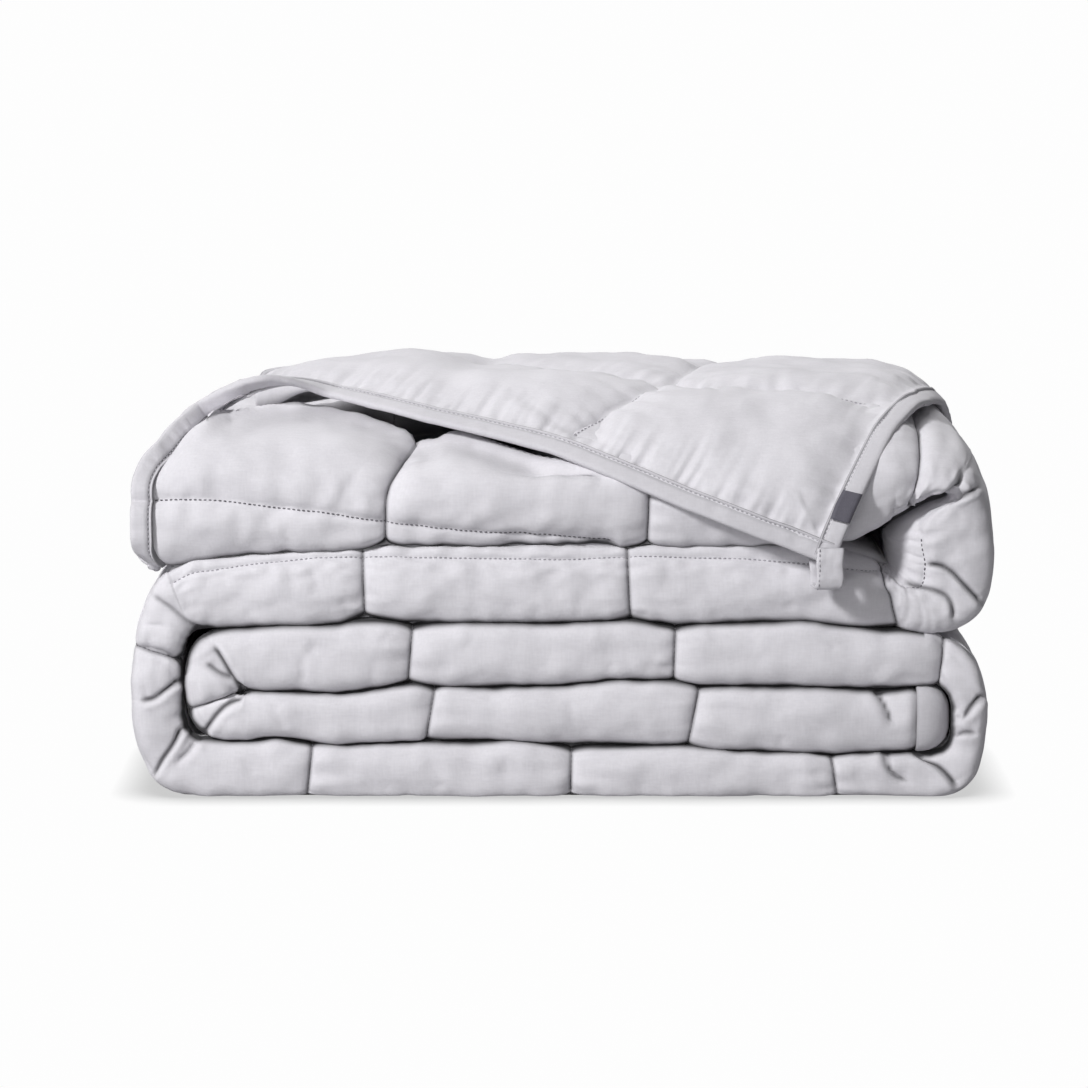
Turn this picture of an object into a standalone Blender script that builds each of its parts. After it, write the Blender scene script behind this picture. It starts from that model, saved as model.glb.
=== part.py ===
# A quilted weighted blanket, folded lengthwise in quarters and then folded over four times into a
# stack of five runs. One corner of the top run's short end is turned back over the front.
#
# Sizes are in millimetres, and each mesh is scaled to metres as it is made. While the shapes are
# worked out, x runs to the right, y runs back from the front folds and z runs up from the floor.

import math
from collections import namedtuple

import bmesh
import bpy
from mathutils import Vector

MM = 0.001

# ---- driving sizes ----
STACK_MIDDLE = (2.25, 178.9)  # x and y of the stack's middle, which becomes the origin
DEPTH = 381.0                 # a quarter of the blanket's 1524 mm width
LAYER_GAP = 0.8               # between neighbouring runs
BINDING_WIDTH = 9.5
BINDING_THICK = 4.8
PIECE_GAP = 0.5               # between a binding and the quilted body

# Height of each line between two runs, at the left, in the middle and at the right
LINE_SPAN = 160.0
LINES = {
    "floor": (0.0, 0.0, 0.0),
    "A/B": (25.6, 23.5, 20.6),
    "B/C": (47.6, 50.3, 49.0),
    "C/D": (77.2, 79.5, 75.0),
    "D/E": (108.0, 114.0, 113.0),
    "top": (172.0, 175.0, 171.0),
}

# Runs from the inner end of the blanket to the outer end. "up" says whether the face that ends on
# top of the stack, called the upper face here, looks up on that run.
Run = namedtuple("Run", "start_x end_x lower upper up seams")
RUNS = {
    "B": Run(168.0, -142.0, "A/B", "B/C", True, (59.7, -59.3)),
    "C": Run(-142.0, 165.0, "B/C", "C/D", False, (-68.2, 52.5)),
    "A": Run(165.0, -158.0, "floor", "A/B", True, (124.8, 4.9, -113.6)),
    "D": Run(-158.0, 150.0, "C/D", "D/E", False, (-88.9, 31.4)),
    "E": Run(150.0, -184.0, "D/E", "top", True, (40.4, -77.2)),
}

# Turns after each run. Each face reaches past the run's end by its reach, furthest at a share of
# its height, with the squareness of its curve before and after that point.
Turn = namedtuple("Turn", "side reach share square_before square_after")
Bend = namedtuple("Bend", "upper lower seams")
BENDS = {
    "B": Bend(Turn(-1, 0.6, 0.5, 2.0, 2.0), Turn(-1, 27.5, 0.45, 2.6, 2.3), (0.5,)),
    "C": Bend(Turn(1, 13.2, 0.5, 3.6, 3.6), Turn(1, 28.1, 0.48, 2.5, 2.9), (0.12,)),
    "A": Bend(Turn(-1, 13.4, 0.5, 2.6, 2.6), Turn(-1, 36.0, 0.5, 3.0, 2.1), (0.55,)),
    "D": Bend(Turn(1, 43.5, 0.34, 3.2, 2.5), Turn(1, 13.5, 0.45, 2.4, 2.4), (0.06, 0.92)),
}
BEND_STEPS = 9

# The top run stands open from the run below at the right, and is rounded at its left end
OPEN_FROM, OPEN_TO = 112.0, 150.0
OPEN_FALL, OPEN_RISE = 11.0, 13.0
END_ROUND_FROM, END_ROUND_TO = -160.0, -184.0
END_ROUND_TOP, END_ROUND_BOTTOM = 16.0, 3.0

LIFT_PLACE, LIFT_SPREAD, LIFT_HEIGHT = (-172.0, 30.0), (14.0, 24.0), 13.0
END_STATIONS = (-163.0, -173.0)

# Front profile of a run: plain runs are round, and the top run leans back in a dome
Profile = namedtuple("Profile", "front middle upper_depth lower_depth")
PLAIN = Profile(0.0, 0.5, 11.0, 11.0)
DOMED = Profile(-4.0, 0.1, 79.0, 8.0)
LOWER_ANGLES = (90, 66, 48, 24)
UPPER_ANGLES = (0, 14, 28, 44, 60, 74, 90)
PLAIN_SEAM_ANGLE = 48
SEAM_PINCH = 2.2              # how far the lengthwise seam is drawn in at the front fold
CHANNEL_ROWS = (127.0, 190.0, 254.0)
CHANNEL_SEAMS = (127.0, 254.0)
CHANNEL_DIP = 1.6             # how far a sewn channel dips into each face
CROSS_DIP = 1.6
CROSS_PULL = 2.6              # how far a crosswise seam is drawn in at the front
SEAM_SIDE = 8.0               # from a seam to where its puff is full again

# Back profile: two bound edges above one fold
BOUND_BACK = 369.0
FOLD_TOP = 0.5
SINK_FROM, SINK = 150.0, 0.00055   # the stack gets lower behind here, by this share for each mm
FOLD_LOBE = ((0.47, 375.0), (0.36, 379.8), (0.24, 381.0), (0.12, 379.8), (0.03, 375.0), (0.0, 368.0))
EDGE_SHARES = {"long_binding_outer": 0.87, "long_binding_inner": 0.62}
EDGE_THICK_SHARE = 0.17

# The turned-back corner lies on the top run's dome. Its edges are given by how far along the top
# run they are (s, which goes on round the right turn) and how far back along the dome (v).
CORNER_UNDER, CORNER_OVER = 2.0, 11.0
HEM_UNDER, HEM_OVER = 3.6, 8.6
HEM_TAPER = 34.0
HEM_BLEND = 70.0              # from the front hem's own direction to the rows of the corner
CORNER_SWING = 7.0            # how far the tip hangs forward of the dome
FRONT_HEM = (
    (122, -56), (90, -45), (55, -30), (-4, -3), (-60, 16), (-88, 27), (-117, 43), (-142, 52),
)
SIDE_HEM = ((122, -56), (136, -20), (151, 20), (170, 62), (185, 148), (202, 228), (222, 331))
CREASE_END = (224, 335)
SIDE_STOP = 0.905             # the share of the side hem where the slab stops, at the crease's end
BEHIND_CREASE_DROP = 9.0      # the top run is one cloth thinner behind the crease
CREASE_RAMP = 26.0
CORNER_ROWS = 17
CORNER_COLUMNS = 15
CREASE_ROLL = ((4.0, 9.6, 2.0), (8.0, 6.2, -2.0), (9.5, 0.5, -5.0))   # outward, over, under

# The end binding's centre line from the turned-back corner down the left end of the top run, and
# then back and forth along the ends of its layers, with the way its free edge points
BAND_TURN = (
    # x, y, z, free edge x, y, z
    (-150, 44.5, 185.0, 0, -0.75, 0.66),
    (-158, 36.5, 184.5, -0.2, -0.35, 0.9),
    (-167, 27, 179.5, -0.5, -0.1, 0.86),
    (-175, 18.5, 170.5, -0.8, 0, 0.6),
    (-182, 10.5, 158, -0.95, 0, 0.3),
    (-187.5, 3.5, 143.5, -1, 0, 0.05),
    (-189.6, 0.5, 130.5, -1, 0, 0),
    (-189.6, 1.5, 121.0, -1, 0, 0),
)
BAND_LADDER_X = -189.6
BAND_LADDER = (
    # y, z
    (5.0, 115.0), (12.0, 111.5), (60.0, 110.8), (200.0, 110.8), (364.0, 110.8),
    (371.0, 112.8), (374.0, 117.5), (371.0, 122.2), (364.0, 124.2),
    (200.0, 124.2), (60.0, 124.2), (34.0, 124.2),
    (26.5, 126.2), (23.0, 131.0), (26.5, 135.8), (34.0, 137.8), (200.0, 137.8), (372.0, 137.8),
)

# Cap over the inner end: how far past the end of the cloth, and how much lower on each side
INNER_CAP = ((PIECE_GAP, 0.2), (5.0, 1.2), (8.2, 4.0))

# Hanging loop and edge patch
LOOP_X, LOOP_WIDTH = 120.5, 12.0
LOOP_TOP, LOOP_BACK_TOP, LOOP_BOTTOM = 116.5, 110.0, 95.0
LOOP_FRONT, LOOP_BACK = -23.2, -9.0
LOOP_THICK = 1.8
LOOP_LEAN = 3.0               # the back leg hangs this much further left
PATCH_START, PATCH_LENGTH = 21.0, 16.5
PATCH_GAP, PATCH_THICK = 0.7, 0.7

CLOTH_COLOUR = (0.64, 0.63, 0.67, 1.0)
BINDING_COLOUR = (0.62, 0.61, 0.65, 1.0)
PATCH_COLOUR = (0.09, 0.085, 0.11, 1.0)

Rib = namedtuple("Rib", "upper lower seam dome")   # two face points in xz, seam and dome shares


def smooth(share):
    share = min(max(share, 0.0), 1.0)
    return share * share * (3.0 - 2.0 * share)


def mix(a, b, share):
    return a + (b - a) * share


def line_height(line, x):
    left, middle, right = LINES[line]
    k = x / LINE_SPAN
    return middle + k * (right - left) / 2 + k * k * ((left + right) / 2 - middle)


def run_face(name, x, top_side):
    # The height of a run's top or bottom side at x
    run = RUNS[name]
    line = run.upper if top_side else run.lower
    z = line_height(line, x)
    if line not in ("floor", "top"):
        z += LAYER_GAP / 2 if not top_side else -LAYER_GAP / 2
    opened = max((x - OPEN_FROM) / (OPEN_TO - OPEN_FROM), 0.0) ** 2
    rounded = max((x - END_ROUND_FROM) / (END_ROUND_TO - END_ROUND_FROM), 0.0) ** 2
    if name == "D" and top_side:
        z -= OPEN_FALL * opened
    if name == "E" and not top_side:
        z += OPEN_RISE * opened + END_ROUND_BOTTOM * rounded
    if name == "E" and top_side:
        z -= END_ROUND_TOP * rounded
    return z


def run_rib(name, x, seam, dome):
    run = RUNS[name]
    return Rib((x, run_face(name, x, run.up)), (x, run_face(name, x, not run.up)), seam, dome)


def run_stations(run):
    # Places along a run, as (x, seam share), with a narrow dip at each seam
    ends = [run.start_x, *run.seams, run.end_x]
    way = 1 if run.end_x > run.start_x else -1
    stations = []
    for index in range(len(ends) - 1):
        first, last = ends[index], ends[index + 1]
        starts_on_seam = index > 0
        ends_on_seam = index < len(ends) - 2
        stations.append((first, 1.0 if starts_on_seam else 0.0))
        inner_first = first + way * SEAM_SIDE * starts_on_seam
        inner_last = last - way * SEAM_SIDE * ends_on_seam
        if starts_on_seam:
            stations.append((inner_first, 0.0))
        stations += [(mix(inner_first, inner_last, share), 0.0) for share in (0.33, 0.67)]
        if ends_on_seam:
            stations.append((inner_last, 0.0))
    return stations


def bend_point(turn, x, start_z, end_z, share):
    # A point on a turn's face, a share of the way round from the end of one run to the next
    middle_z = mix(start_z, end_z, turn.share)
    angle = math.pi * share
    square = turn.square_before if share < 0.5 else turn.square_after
    rise = (start_z if share < 0.5 else end_z) - middle_z
    out = abs(math.sin(angle)) ** (2.0 / square)
    along = abs(math.cos(angle)) ** (2.0 / square)
    return (x + turn.side * turn.reach * out, middle_z + rise * along)


def bend_rib(name, following, share, seam):
    # A rib part of the way round the turn that joins a run to the one that follows it
    bend = BENDS[name]
    before = run_rib(name, RUNS[name].end_x, 0.0, 0.0)
    after = run_rib(following, RUNS[following].start_x, 0.0, 0.0)
    x = before.upper[0]
    upper = bend_point(bend.upper, x, before.upper[1], after.upper[1], share)
    lower = bend_point(bend.lower, x, before.lower[1], after.lower[1], share)
    return Rib(upper, lower, seam, smooth(share) if following == "E" else 0.0)


def all_ribs():
    names = list(RUNS)
    ribs = []
    for name, following in zip(names, names[1:] + [None]):
        dome = 1.0 if name == "E" else 0.0
        ribs += [run_rib(name, x, seam, dome) for x, seam in run_stations(RUNS[name])]
        if following is None:
            ribs += [run_rib(name, x, 0.0, dome) for x in END_STATIONS]
            ribs.append(run_rib(name, RUNS[name].end_x, 0.7, dome))
            continue
        shares = {step / BEND_STEPS: 0.0 for step in range(BEND_STEPS)}
        for seam in BENDS[name].seams:
            nearest = min(shares, key=lambda share: abs(share - seam))
            shares[nearest] = 1.0
        ribs += [bend_rib(name, following, share, seam) for share, seam in shares.items()]
    return ribs


def top_rib(s):
    # The rib of the top run at s, and which way its upper face looks there
    if s <= RUNS["E"].start_x:
        return run_rib("E", s, 0.0, 1.0), Vector((0.0, 1.0))
    share = 1.0 - 0.5 * (s - RUNS["E"].start_x) / TURN_QUARTER
    low = Vector(bend_rib("D", "E", share - 0.01, 0.0).upper)
    high = Vector(bend_rib("D", "E", min(share + 0.01, 1.0), 0.0).upper)
    along = (high - low).normalized()
    return bend_rib("D", "E", share, 0.0), Vector((along[1], -along[0]))


def turn_quarter_length():
    # From the start of the top run round its turn to the furthest point at the right
    points = [bend_rib("D", "E", 0.5 + step / 40, 0.0).upper for step in range(21)]
    return sum(math.dist(a, b) for a, b in zip(points, points[1:]))


TURN_QUARTER = turn_quarter_length()


def front_shape(dome):
    return Profile(*(mix(plain, domed, dome) for plain, domed in zip(PLAIN, DOMED)))


def drape(s, v, off):
    # The point at s and v, off the top run's upper face by off
    rib, out = top_rib(s)
    upper, lower = Vector(rib.upper), Vector(rib.lower)
    shape = front_shape(rib.dome)
    back = shape.front + shape.upper_depth
    if v >= back:
        place = upper + out * off
        return Vector((place[0], v, place[1]))
    if v < 0:
        off += CORNER_SWING * (v / FRONT_HEM[0][1]) ** 2
    drop = (upper - lower) * (1.0 - shape.middle)
    depth, height = shape.upper_depth + HEM_OVER, drop.length + HEM_OVER
    quarter = math.pi / 2 * math.sqrt((depth * depth + height * height) / 2)
    angle = min((back - v) / quarter, 1.0) * math.pi / 2
    hang = drop.normalized() * max(back - v - quarter, 0.0)
    place = upper - drop * (1.0 - math.cos(angle)) + out * off * math.cos(angle) - hang
    return Vector((place[0], back - (shape.upper_depth + off) * math.sin(angle), place[1]))


def along_points(points, share):
    # A place part of the way along a line of straight stretches
    lengths = [math.dist(a, b) for a, b in zip(points, points[1:])]
    way = share * sum(lengths)
    for first, last, length in zip(points, points[1:], lengths):
        if way <= length or last is points[-1]:
            return Vector(first).lerp(Vector(last), way / length)
        way -= length
    return Vector(points[-1])


SIDE_LENGTH = sum(math.dist(a, b) for a, b in zip(SIDE_HEM, SIDE_HEM[1:]))


def hem_place(a, distance):
    # s and v at a distance in from the front hem
    here = along_points(FRONT_HEM, a)
    along = along_points(FRONT_HEM, min(a + 0.05, 1.0)) - along_points(FRONT_HEM, max(a - 0.05, 0.0))
    inward = Vector((along[1], -along[0])).normalized()
    return here + inward * distance


def corner_place(a, b):
    # s and v on the turned-back corner: a runs from the side hem to the crease, b from the front
    # hem to the back
    side = along_points(SIDE_HEM, b)
    crease = Vector(FRONT_HEM[-1]).lerp(Vector(CREASE_END), b)
    straight = Vector(FRONT_HEM[0]).lerp(Vector(FRONT_HEM[-1]), a)
    bow = along_points(FRONT_HEM, a) - straight
    ruled = side.lerp(crease, a) + bow * (1.0 - b) ** 2
    distance = b * SIDE_LENGTH
    return hem_place(a, distance).lerp(ruled, smooth((distance - BINDING_WIDTH) / HEM_BLEND))


def corner_width(b):
    return max((corner_place(0.0, b) - corner_place(1.0, b)).length, 1.0)


def corner_point(a, b, off):
    s, v = corner_place(a, b)
    return drape(s, v, off)


HEM_SHARE = BINDING_WIDTH / SIDE_LENGTH
HEM_GAP_SHARE = (BINDING_WIDTH + PIECE_GAP) / SIDE_LENGTH


def crease_distance(x, y):
    # How far a place on top lies behind the crease
    start, end = Vector(FRONT_HEM[-1]), Vector(CREASE_END)
    along = (end - start).normalized()
    place = Vector((x, y)) - start
    return along[0] * place[1] - along[1] * place[0]


def end_lift(x, y):
    # The cloth at the left end is lifted by the roll of the corner
    across, back = (x - LIFT_PLACE[0]) / LIFT_SPREAD[0], (y - LIFT_PLACE[1]) / LIFT_SPREAD[1]
    return LIFT_HEIGHT * math.exp(-across * across - back * back)


def arch(share_angle, depth):
    return depth * (1.0 - math.cos(math.radians(share_angle)))


def rib_ring(rib):
    # The closed outline of the quilted body at one rib
    upper, lower = Vector(rib.upper), Vector(rib.lower)
    thick = (upper - lower).length
    shape = front_shape(rib.dome)
    dip = CROSS_DIP * rib.seam / thick
    on_floor = rib.lower[1] < LAYER_GAP / 2
    lower_dip = 0.0 if on_floor else dip
    pull = CROSS_PULL * rib.seam
    outline = []
    for angle in LOWER_ANGLES:
        share = shape.middle * (1.0 - math.sin(math.radians(angle)))
        pinch = SEAM_PINCH * (1.0 - rib.dome) if angle == PLAIN_SEAM_ANGLE else 0.0
        outline.append((max(share, lower_dip), shape.front + arch(angle, shape.lower_depth) + pinch + pull))
    for angle in UPPER_ANGLES:
        share = mix(shape.middle, 1.0, math.sin(math.radians(angle)))
        pinch = SEAM_PINCH * rib.dome if angle == 0 else 0.0
        outline.append((min(share, 1.0 - dip), shape.front + arch(angle, shape.upper_depth) + pinch + pull))
    back_pull = pull * 0.5
    for y in CHANNEL_ROWS:
        channel = CHANNEL_DIP / thick if y in CHANNEL_SEAMS else 0.0
        outline.append((1.0 - max(dip, channel), y))
    outline.append((1.0 - dip, BOUND_BACK))
    outline.append((FOLD_TOP, BOUND_BACK))
    outline += [(max(share, lower_dip), y - back_pull) for share, y in FOLD_LOBE]
    for y in reversed(CHANNEL_ROWS):
        channel = CHANNEL_DIP / thick if y in CHANNEL_SEAMS and not on_floor else 0.0
        outline.append((max(lower_dip, channel), y))
    ring = []
    for share, y in outline:
        x, z = lower.lerp(upper, share)
        if rib.dome > 0.5 and share > 0.5 and y > DOMED.upper_depth - 25.0:
            z -= BEHIND_CREASE_DROP * smooth(crease_distance(x, y) / CREASE_RAMP) * rib.dome
        if rib.dome > 0.5 and share > shape.middle:
            z += end_lift(x, y)
        ring.append(Vector((x, y, z)))
    return ring


def sunk(point):
    # Where a point lies once the back of the stack, with its bound edges, has sunk below the front
    x, y, z = point
    return Vector((x, y, z * (1.0 - SINK * max(y - SINK_FROM, 0.0))))


def add_object(name, points, faces, colour, roughness):
    # One closed mesh, moved to the stack's own origin and scaled to metres
    mesh = bpy.data.meshes.new(name)
    middle = Vector((STACK_MIDDLE[0], STACK_MIDDLE[1], 0.0))
    mesh.from_pydata([(sunk(point) - middle) * MM for point in points], [], faces)
    mesh.validate()
    material = bpy.data.materials.new(name + "_cloth")
    material.use_nodes = True
    shader = material.node_tree.nodes["Principled BSDF"]
    shader.inputs["Base Color"].default_value = colour
    shader.inputs["Roughness"].default_value = roughness
    shader.inputs["Metallic"].default_value = 0.0
    material.diffuse_color = colour
    mesh.materials.append(material)
    piece = bpy.data.objects.new(name, mesh)
    bpy.context.scene.collection.objects.link(piece)
    return piece


def sweep(rings, curved_ends):
    # Points and faces of a closed solid through a row of rings. A curved end is closed by a row of
    # faces between the two sides of its ring, and a flat end by one face.
    size = len(rings[0])
    points = [point for ring in rings for point in ring]
    faces = []
    for row in range(len(rings) - 1):
        for index in range(size):
            here = row * size + index
            beside = row * size + (index + 1) % size
            faces.append((here, beside, beside + size, here + size))
    last = len(points) - size
    if not curved_ends:
        return points, faces + [tuple(reversed(range(size))), tuple(range(last, last + size))]
    for index in range(size // 2 - 1):
        end = (index, size - 1 - index, size - 2 - index, index + 1)
        faces.append(end)
        faces.append(tuple(last + corner for corner in reversed(end)))
    return points, faces


def face_outwards(piece):
    shell = bmesh.new()
    shell.from_mesh(piece.data)
    bmesh.ops.recalc_face_normals(shell, faces=shell.faces)
    if shell.calc_volume(signed=True) < 0:
        bmesh.ops.reverse_faces(shell, faces=shell.faces)
    shell.to_mesh(piece.data)
    shell.free()


def add_sweep(name, rings, colour, curved_ends=False, roughness=0.85):
    points, faces = sweep(rings, curved_ends)
    piece = add_object(name, points, faces, colour, roughness)
    face_outwards(piece)
    return piece


def hem_offsets(distance):
    # Under and over sides of the turned-back corner, thinner towards its hem
    full = smooth(distance / HEM_TAPER)
    return mix(HEM_UNDER, CORNER_UNDER, full), mix(HEM_OVER, CORNER_OVER, full)


def corner_rows():
    return [mix(HEM_GAP_SHARE, SIDE_STOP, row / (CORNER_ROWS - 1)) for row in range(CORNER_ROWS)]


def corner_columns(b):
    first = min((BINDING_WIDTH + PIECE_GAP) / corner_width(b), 0.55)
    return [mix(first, 1.0, column / (CORNER_COLUMNS - 1)) for column in range(CORNER_COLUMNS)]


def corner_slab_rings():
    # Rows of the turned-back corner from its front hem to the crease's end
    rings = []
    for b in corner_rows():
        width = corner_width(b)
        columns = corner_columns(b)
        first = columns[0]
        over, under = [], []
        for a in columns:
            hem_distance = min((a - first) * width, (b - HEM_GAP_SHARE) * SIDE_LENGTH)
            low, high = hem_offsets(hem_distance)
            over.append(corner_point(a, b, high))
            under.append(corner_point(a, b, low))
        for outward, high, low in CREASE_ROLL:
            a = 1.0 + outward / width
            over.append(corner_point(a, b, high))
            under.append(corner_point(a, b, low))
        rings.append(over + list(reversed(under)))
    return rings


def make_quilted_body():
    body = add_sweep("quilted_body", [rib_ring(rib) for rib in all_ribs()], CLOTH_COLOUR)
    corner = add_sweep("corner_slab", corner_slab_rings(), CLOTH_COLOUR, curved_ends=True)
    union = body.modifiers.new("turned_back_corner", "BOOLEAN")
    union.operation = "UNION"
    union.solver = "EXACT"
    union.object = corner
    corner.hide_render = True
    corner.display_type = "WIRE"


def hem_ring(place, inner, outer):
    # Four corners of a binding on the turned-back corner
    return [
        corner_point(*place(outer), HEM_UNDER), corner_point(*place(outer), HEM_OVER),
        corner_point(*place(inner), HEM_OVER), corner_point(*place(inner), HEM_UNDER),
    ]


def frame_ring(centre, along, free_edge):
    # Four corners of a binding that doesn't lie on the corner
    free_edge = (free_edge - along * free_edge.dot(along)).normalized()
    outside = along.cross(free_edge).normalized()
    half_width, half_thick = free_edge * BINDING_WIDTH / 2, outside * BINDING_THICK / 2
    return [
        centre + half_width - half_thick, centre + half_width + half_thick,
        centre - half_width + half_thick, centre - half_width - half_thick,
    ]


def make_end_binding():
    rings = []
    for a in [0.0] + corner_columns(HEM_GAP_SHARE):
        rings.append(hem_ring(lambda b: (a, b), HEM_SHARE, 0.0))
    turn = [(Vector(row[:3]), Vector(row[3:])) for row in BAND_TURN]
    ladder = [(Vector((BAND_LADDER_X, y, z)), Vector((-1, 0, 0))) for y, z in BAND_LADDER]
    path = turn + ladder
    for index, (centre, free_edge) in enumerate(path):
        before = path[index - 1][0] if index else sum(rings[-1], Vector()) / 4
        after = path[min(index + 1, len(path) - 1)][0]
        rings.append(frame_ring(centre, (after - before).normalized(), free_edge))
    add_sweep("end_binding", rings, BINDING_COLOUR)


def make_corner_side_binding():
    rings = []
    for b in corner_rows():
        inner = min(BINDING_WIDTH / corner_width(b), 0.5)
        rings.append(hem_ring(lambda a: (a, b), inner, 0.0))
    add_sweep("corner_side_binding", rings, BINDING_COLOUR)


def make_inner_end_binding():
    # A cap over the inner end of the blanket, rounded at its end
    rings = []
    start = RUNS["B"].start_x
    for out, shrink in INNER_CAP:
        x = start + out
        rib = run_rib("B", x, 0.0, 0.0)
        rib = Rib((x, rib.upper[1] - shrink), (x, rib.lower[1] + shrink), 0.0, 0.0)
        rings.append([Vector((p.x, mix(p.y, DEPTH / 2, shrink / 200.0), p.z)) for p in rib_ring(rib)])
    add_sweep("inner_end_binding", rings, BINDING_COLOUR)


def make_long_binding(name, ribs):
    # A strip along a long edge of the blanket, round the back of the stack
    share = EDGE_SHARES[name]
    near, far = BOUND_BACK + PIECE_GAP, DEPTH
    rings = []
    for rib in ribs:
        upper, lower = Vector(rib.upper), Vector(rib.lower)
        thick = (upper - lower).length
        half = min(BINDING_THICK, EDGE_THICK_SHARE * thick) / 2 / thick
        low, high = lower.lerp(upper, share - half), lower.lerp(upper, share + half)
        rings.append([
            Vector((low[0], near, low[1])), Vector((low[0], far, low[1])),
            Vector((high[0], far, high[1])), Vector((high[0], near, high[1])),
        ])
    add_sweep(name, rings, BINDING_COLOUR)


def make_corner_loop():
    # A strip folded in two that hangs with one leg before the corner and one behind it
    drop = LOOP_BOTTOM + LOOP_THICK
    thick = LOOP_THICK
    path = (
        # y, z, lean
        (LOOP_FRONT + thick / 2, LOOP_TOP, 0.0),
        (LOOP_FRONT + thick / 2, drop + 3.0, 0.0),
        (LOOP_FRONT + thick / 2 + 1.6, drop - thick / 2, 0.15),
        (LOOP_BACK - thick / 2 - 1.6, drop - thick / 2, 0.85),
        (LOOP_BACK - thick / 2, drop + 3.0, 1.0),
        (LOOP_BACK - thick / 2, LOOP_BACK_TOP, 1.0),
    )
    rings = []
    for index, (y, z, lean) in enumerate(path):
        before, after = path[max(index - 1, 0)], path[min(index + 1, len(path) - 1)]
        along = Vector((after[0] - before[0], after[1] - before[1])).normalized()
        inward = Vector((-along[1], along[0])) * thick / 2
        left = LOOP_X - LOOP_WIDTH / 2 - LOOP_LEAN * lean
        right = left + LOOP_WIDTH
        rings.append([
            Vector((left, y - inward[0], z - inward[1])), Vector((right, y - inward[0], z - inward[1])),
            Vector((right, y + inward[0], z + inward[1])), Vector((left, y + inward[0], z + inward[1])),
        ])
    add_sweep("corner_loop", rings, BINDING_COLOUR)


def make_edge_patch():
    # A thin strip folded over the side hem beside the loop
    rings = []
    steps = 4
    inner_gap, outer_gap = PATCH_GAP, PATCH_GAP + PATCH_THICK
    for step in range(steps + 1):
        b = (PATCH_START + PATCH_LENGTH * step / steps) / SIDE_LENGTH
        width = corner_width(b)
        inner = BINDING_WIDTH / width
        section = (
            (inner, HEM_OVER + outer_gap), (-outer_gap / width, HEM_OVER + outer_gap),
            (-outer_gap / width, HEM_UNDER - outer_gap), (inner, HEM_UNDER - outer_gap),
            (inner, HEM_UNDER - inner_gap), (-inner_gap / width, HEM_UNDER - inner_gap),
            (-inner_gap / width, HEM_OVER + inner_gap), (inner, HEM_OVER + inner_gap),
        )
        rings.append([corner_point(a, b, off) for a, off in section])
    add_sweep("edge_patch", rings, PATCH_COLOUR)


def main():
    for old in list(bpy.data.objects):
        bpy.data.objects.remove(old, do_unlink=True)
    ribs = all_ribs()
    make_quilted_body()
    make_end_binding()
    make_inner_end_binding()
    make_corner_side_binding()
    top_start = len(ribs) - len(run_stations(RUNS["E"])) - len(END_STATIONS) - 1
    outer_end = top_start - BEND_STEPS // 3
    make_long_binding("long_binding_outer", ribs[:outer_end])
    make_long_binding("long_binding_inner", ribs)
    make_corner_loop()
    make_edge_patch()


main()
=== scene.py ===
import math
import bpy
import numpy as np
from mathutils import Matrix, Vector, noise


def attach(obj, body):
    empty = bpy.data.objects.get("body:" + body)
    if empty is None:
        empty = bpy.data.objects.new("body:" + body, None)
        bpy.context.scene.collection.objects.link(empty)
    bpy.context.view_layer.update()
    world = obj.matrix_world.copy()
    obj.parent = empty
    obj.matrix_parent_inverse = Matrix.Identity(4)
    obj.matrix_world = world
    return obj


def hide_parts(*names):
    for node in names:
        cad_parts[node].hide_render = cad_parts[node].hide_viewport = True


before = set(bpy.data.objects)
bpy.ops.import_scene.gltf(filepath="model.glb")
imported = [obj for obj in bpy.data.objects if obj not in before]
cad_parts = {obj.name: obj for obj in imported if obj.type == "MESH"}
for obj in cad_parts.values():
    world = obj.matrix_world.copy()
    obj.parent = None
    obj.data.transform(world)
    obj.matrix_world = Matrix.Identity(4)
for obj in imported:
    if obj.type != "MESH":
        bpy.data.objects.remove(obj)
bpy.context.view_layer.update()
print("frame loaded")

# All shapes are worked out in millimetres: x to the right, y back from the front folds, z up from
# the floor. toFrame moves a finished shape into the frame, in metres.
stack = {
    "middle": (2.25, 178.9, 0.0),
    "flatSeams": (127.0, 254.0),       # lengthwise seams across the flat faces, as y
    "gap": 0.2,            # between neighbouring runs
    "sinkFrom": 150.0,     # the bound back of the stack is lower than its front
    "sink": 0.00055,
    "lineSoftness": 3.0,
    "lines": {             # places of the lines between the runs, as (x, z)
        "floor": [(-200, 0), (200, 0)],
        "A/B": [(-166, 26), (-142, 24.7), (-130, 26.9), (-114, 24.7), (-101, 22.9), (-75, 24.2), (-22, 25.1),
                (0, 23.3), (58, 22.5), (71, 20.7), (95, 19.8), (124, 18.9), (153, 19.8), (165, 20.2)],
        "B/C": [(-142, 48), (-98, 46.7), (-68, 51.2), (-42, 49.4), (0, 50.3), (25, 53.4), (50, 52.5),
                (66, 50.3), (112, 49.8), (146, 48.5), (169, 50)],
        "C/D": [(-163, 76.8), (-150, 76.3), (-133, 77.7), (-101, 78.1), (-89, 81.3), (-68, 79), (0, 79),
                (31, 80.4), (50, 78.1), (92, 79.5), (111, 79.9), (126, 77.7), (159, 75.4), (173, 74.1)],
        "D/E": [(-174, 104.2), (-167, 107.8), (-140, 110.5), (-114, 112.2), (-80, 114), (0, 114.5),
                (30, 114), (88, 114.9), (150, 114)],
        "top": [(-184, 171), (-120, 173.5), (0, 175), (100, 173.5), (160, 171)],
    },
}

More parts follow.
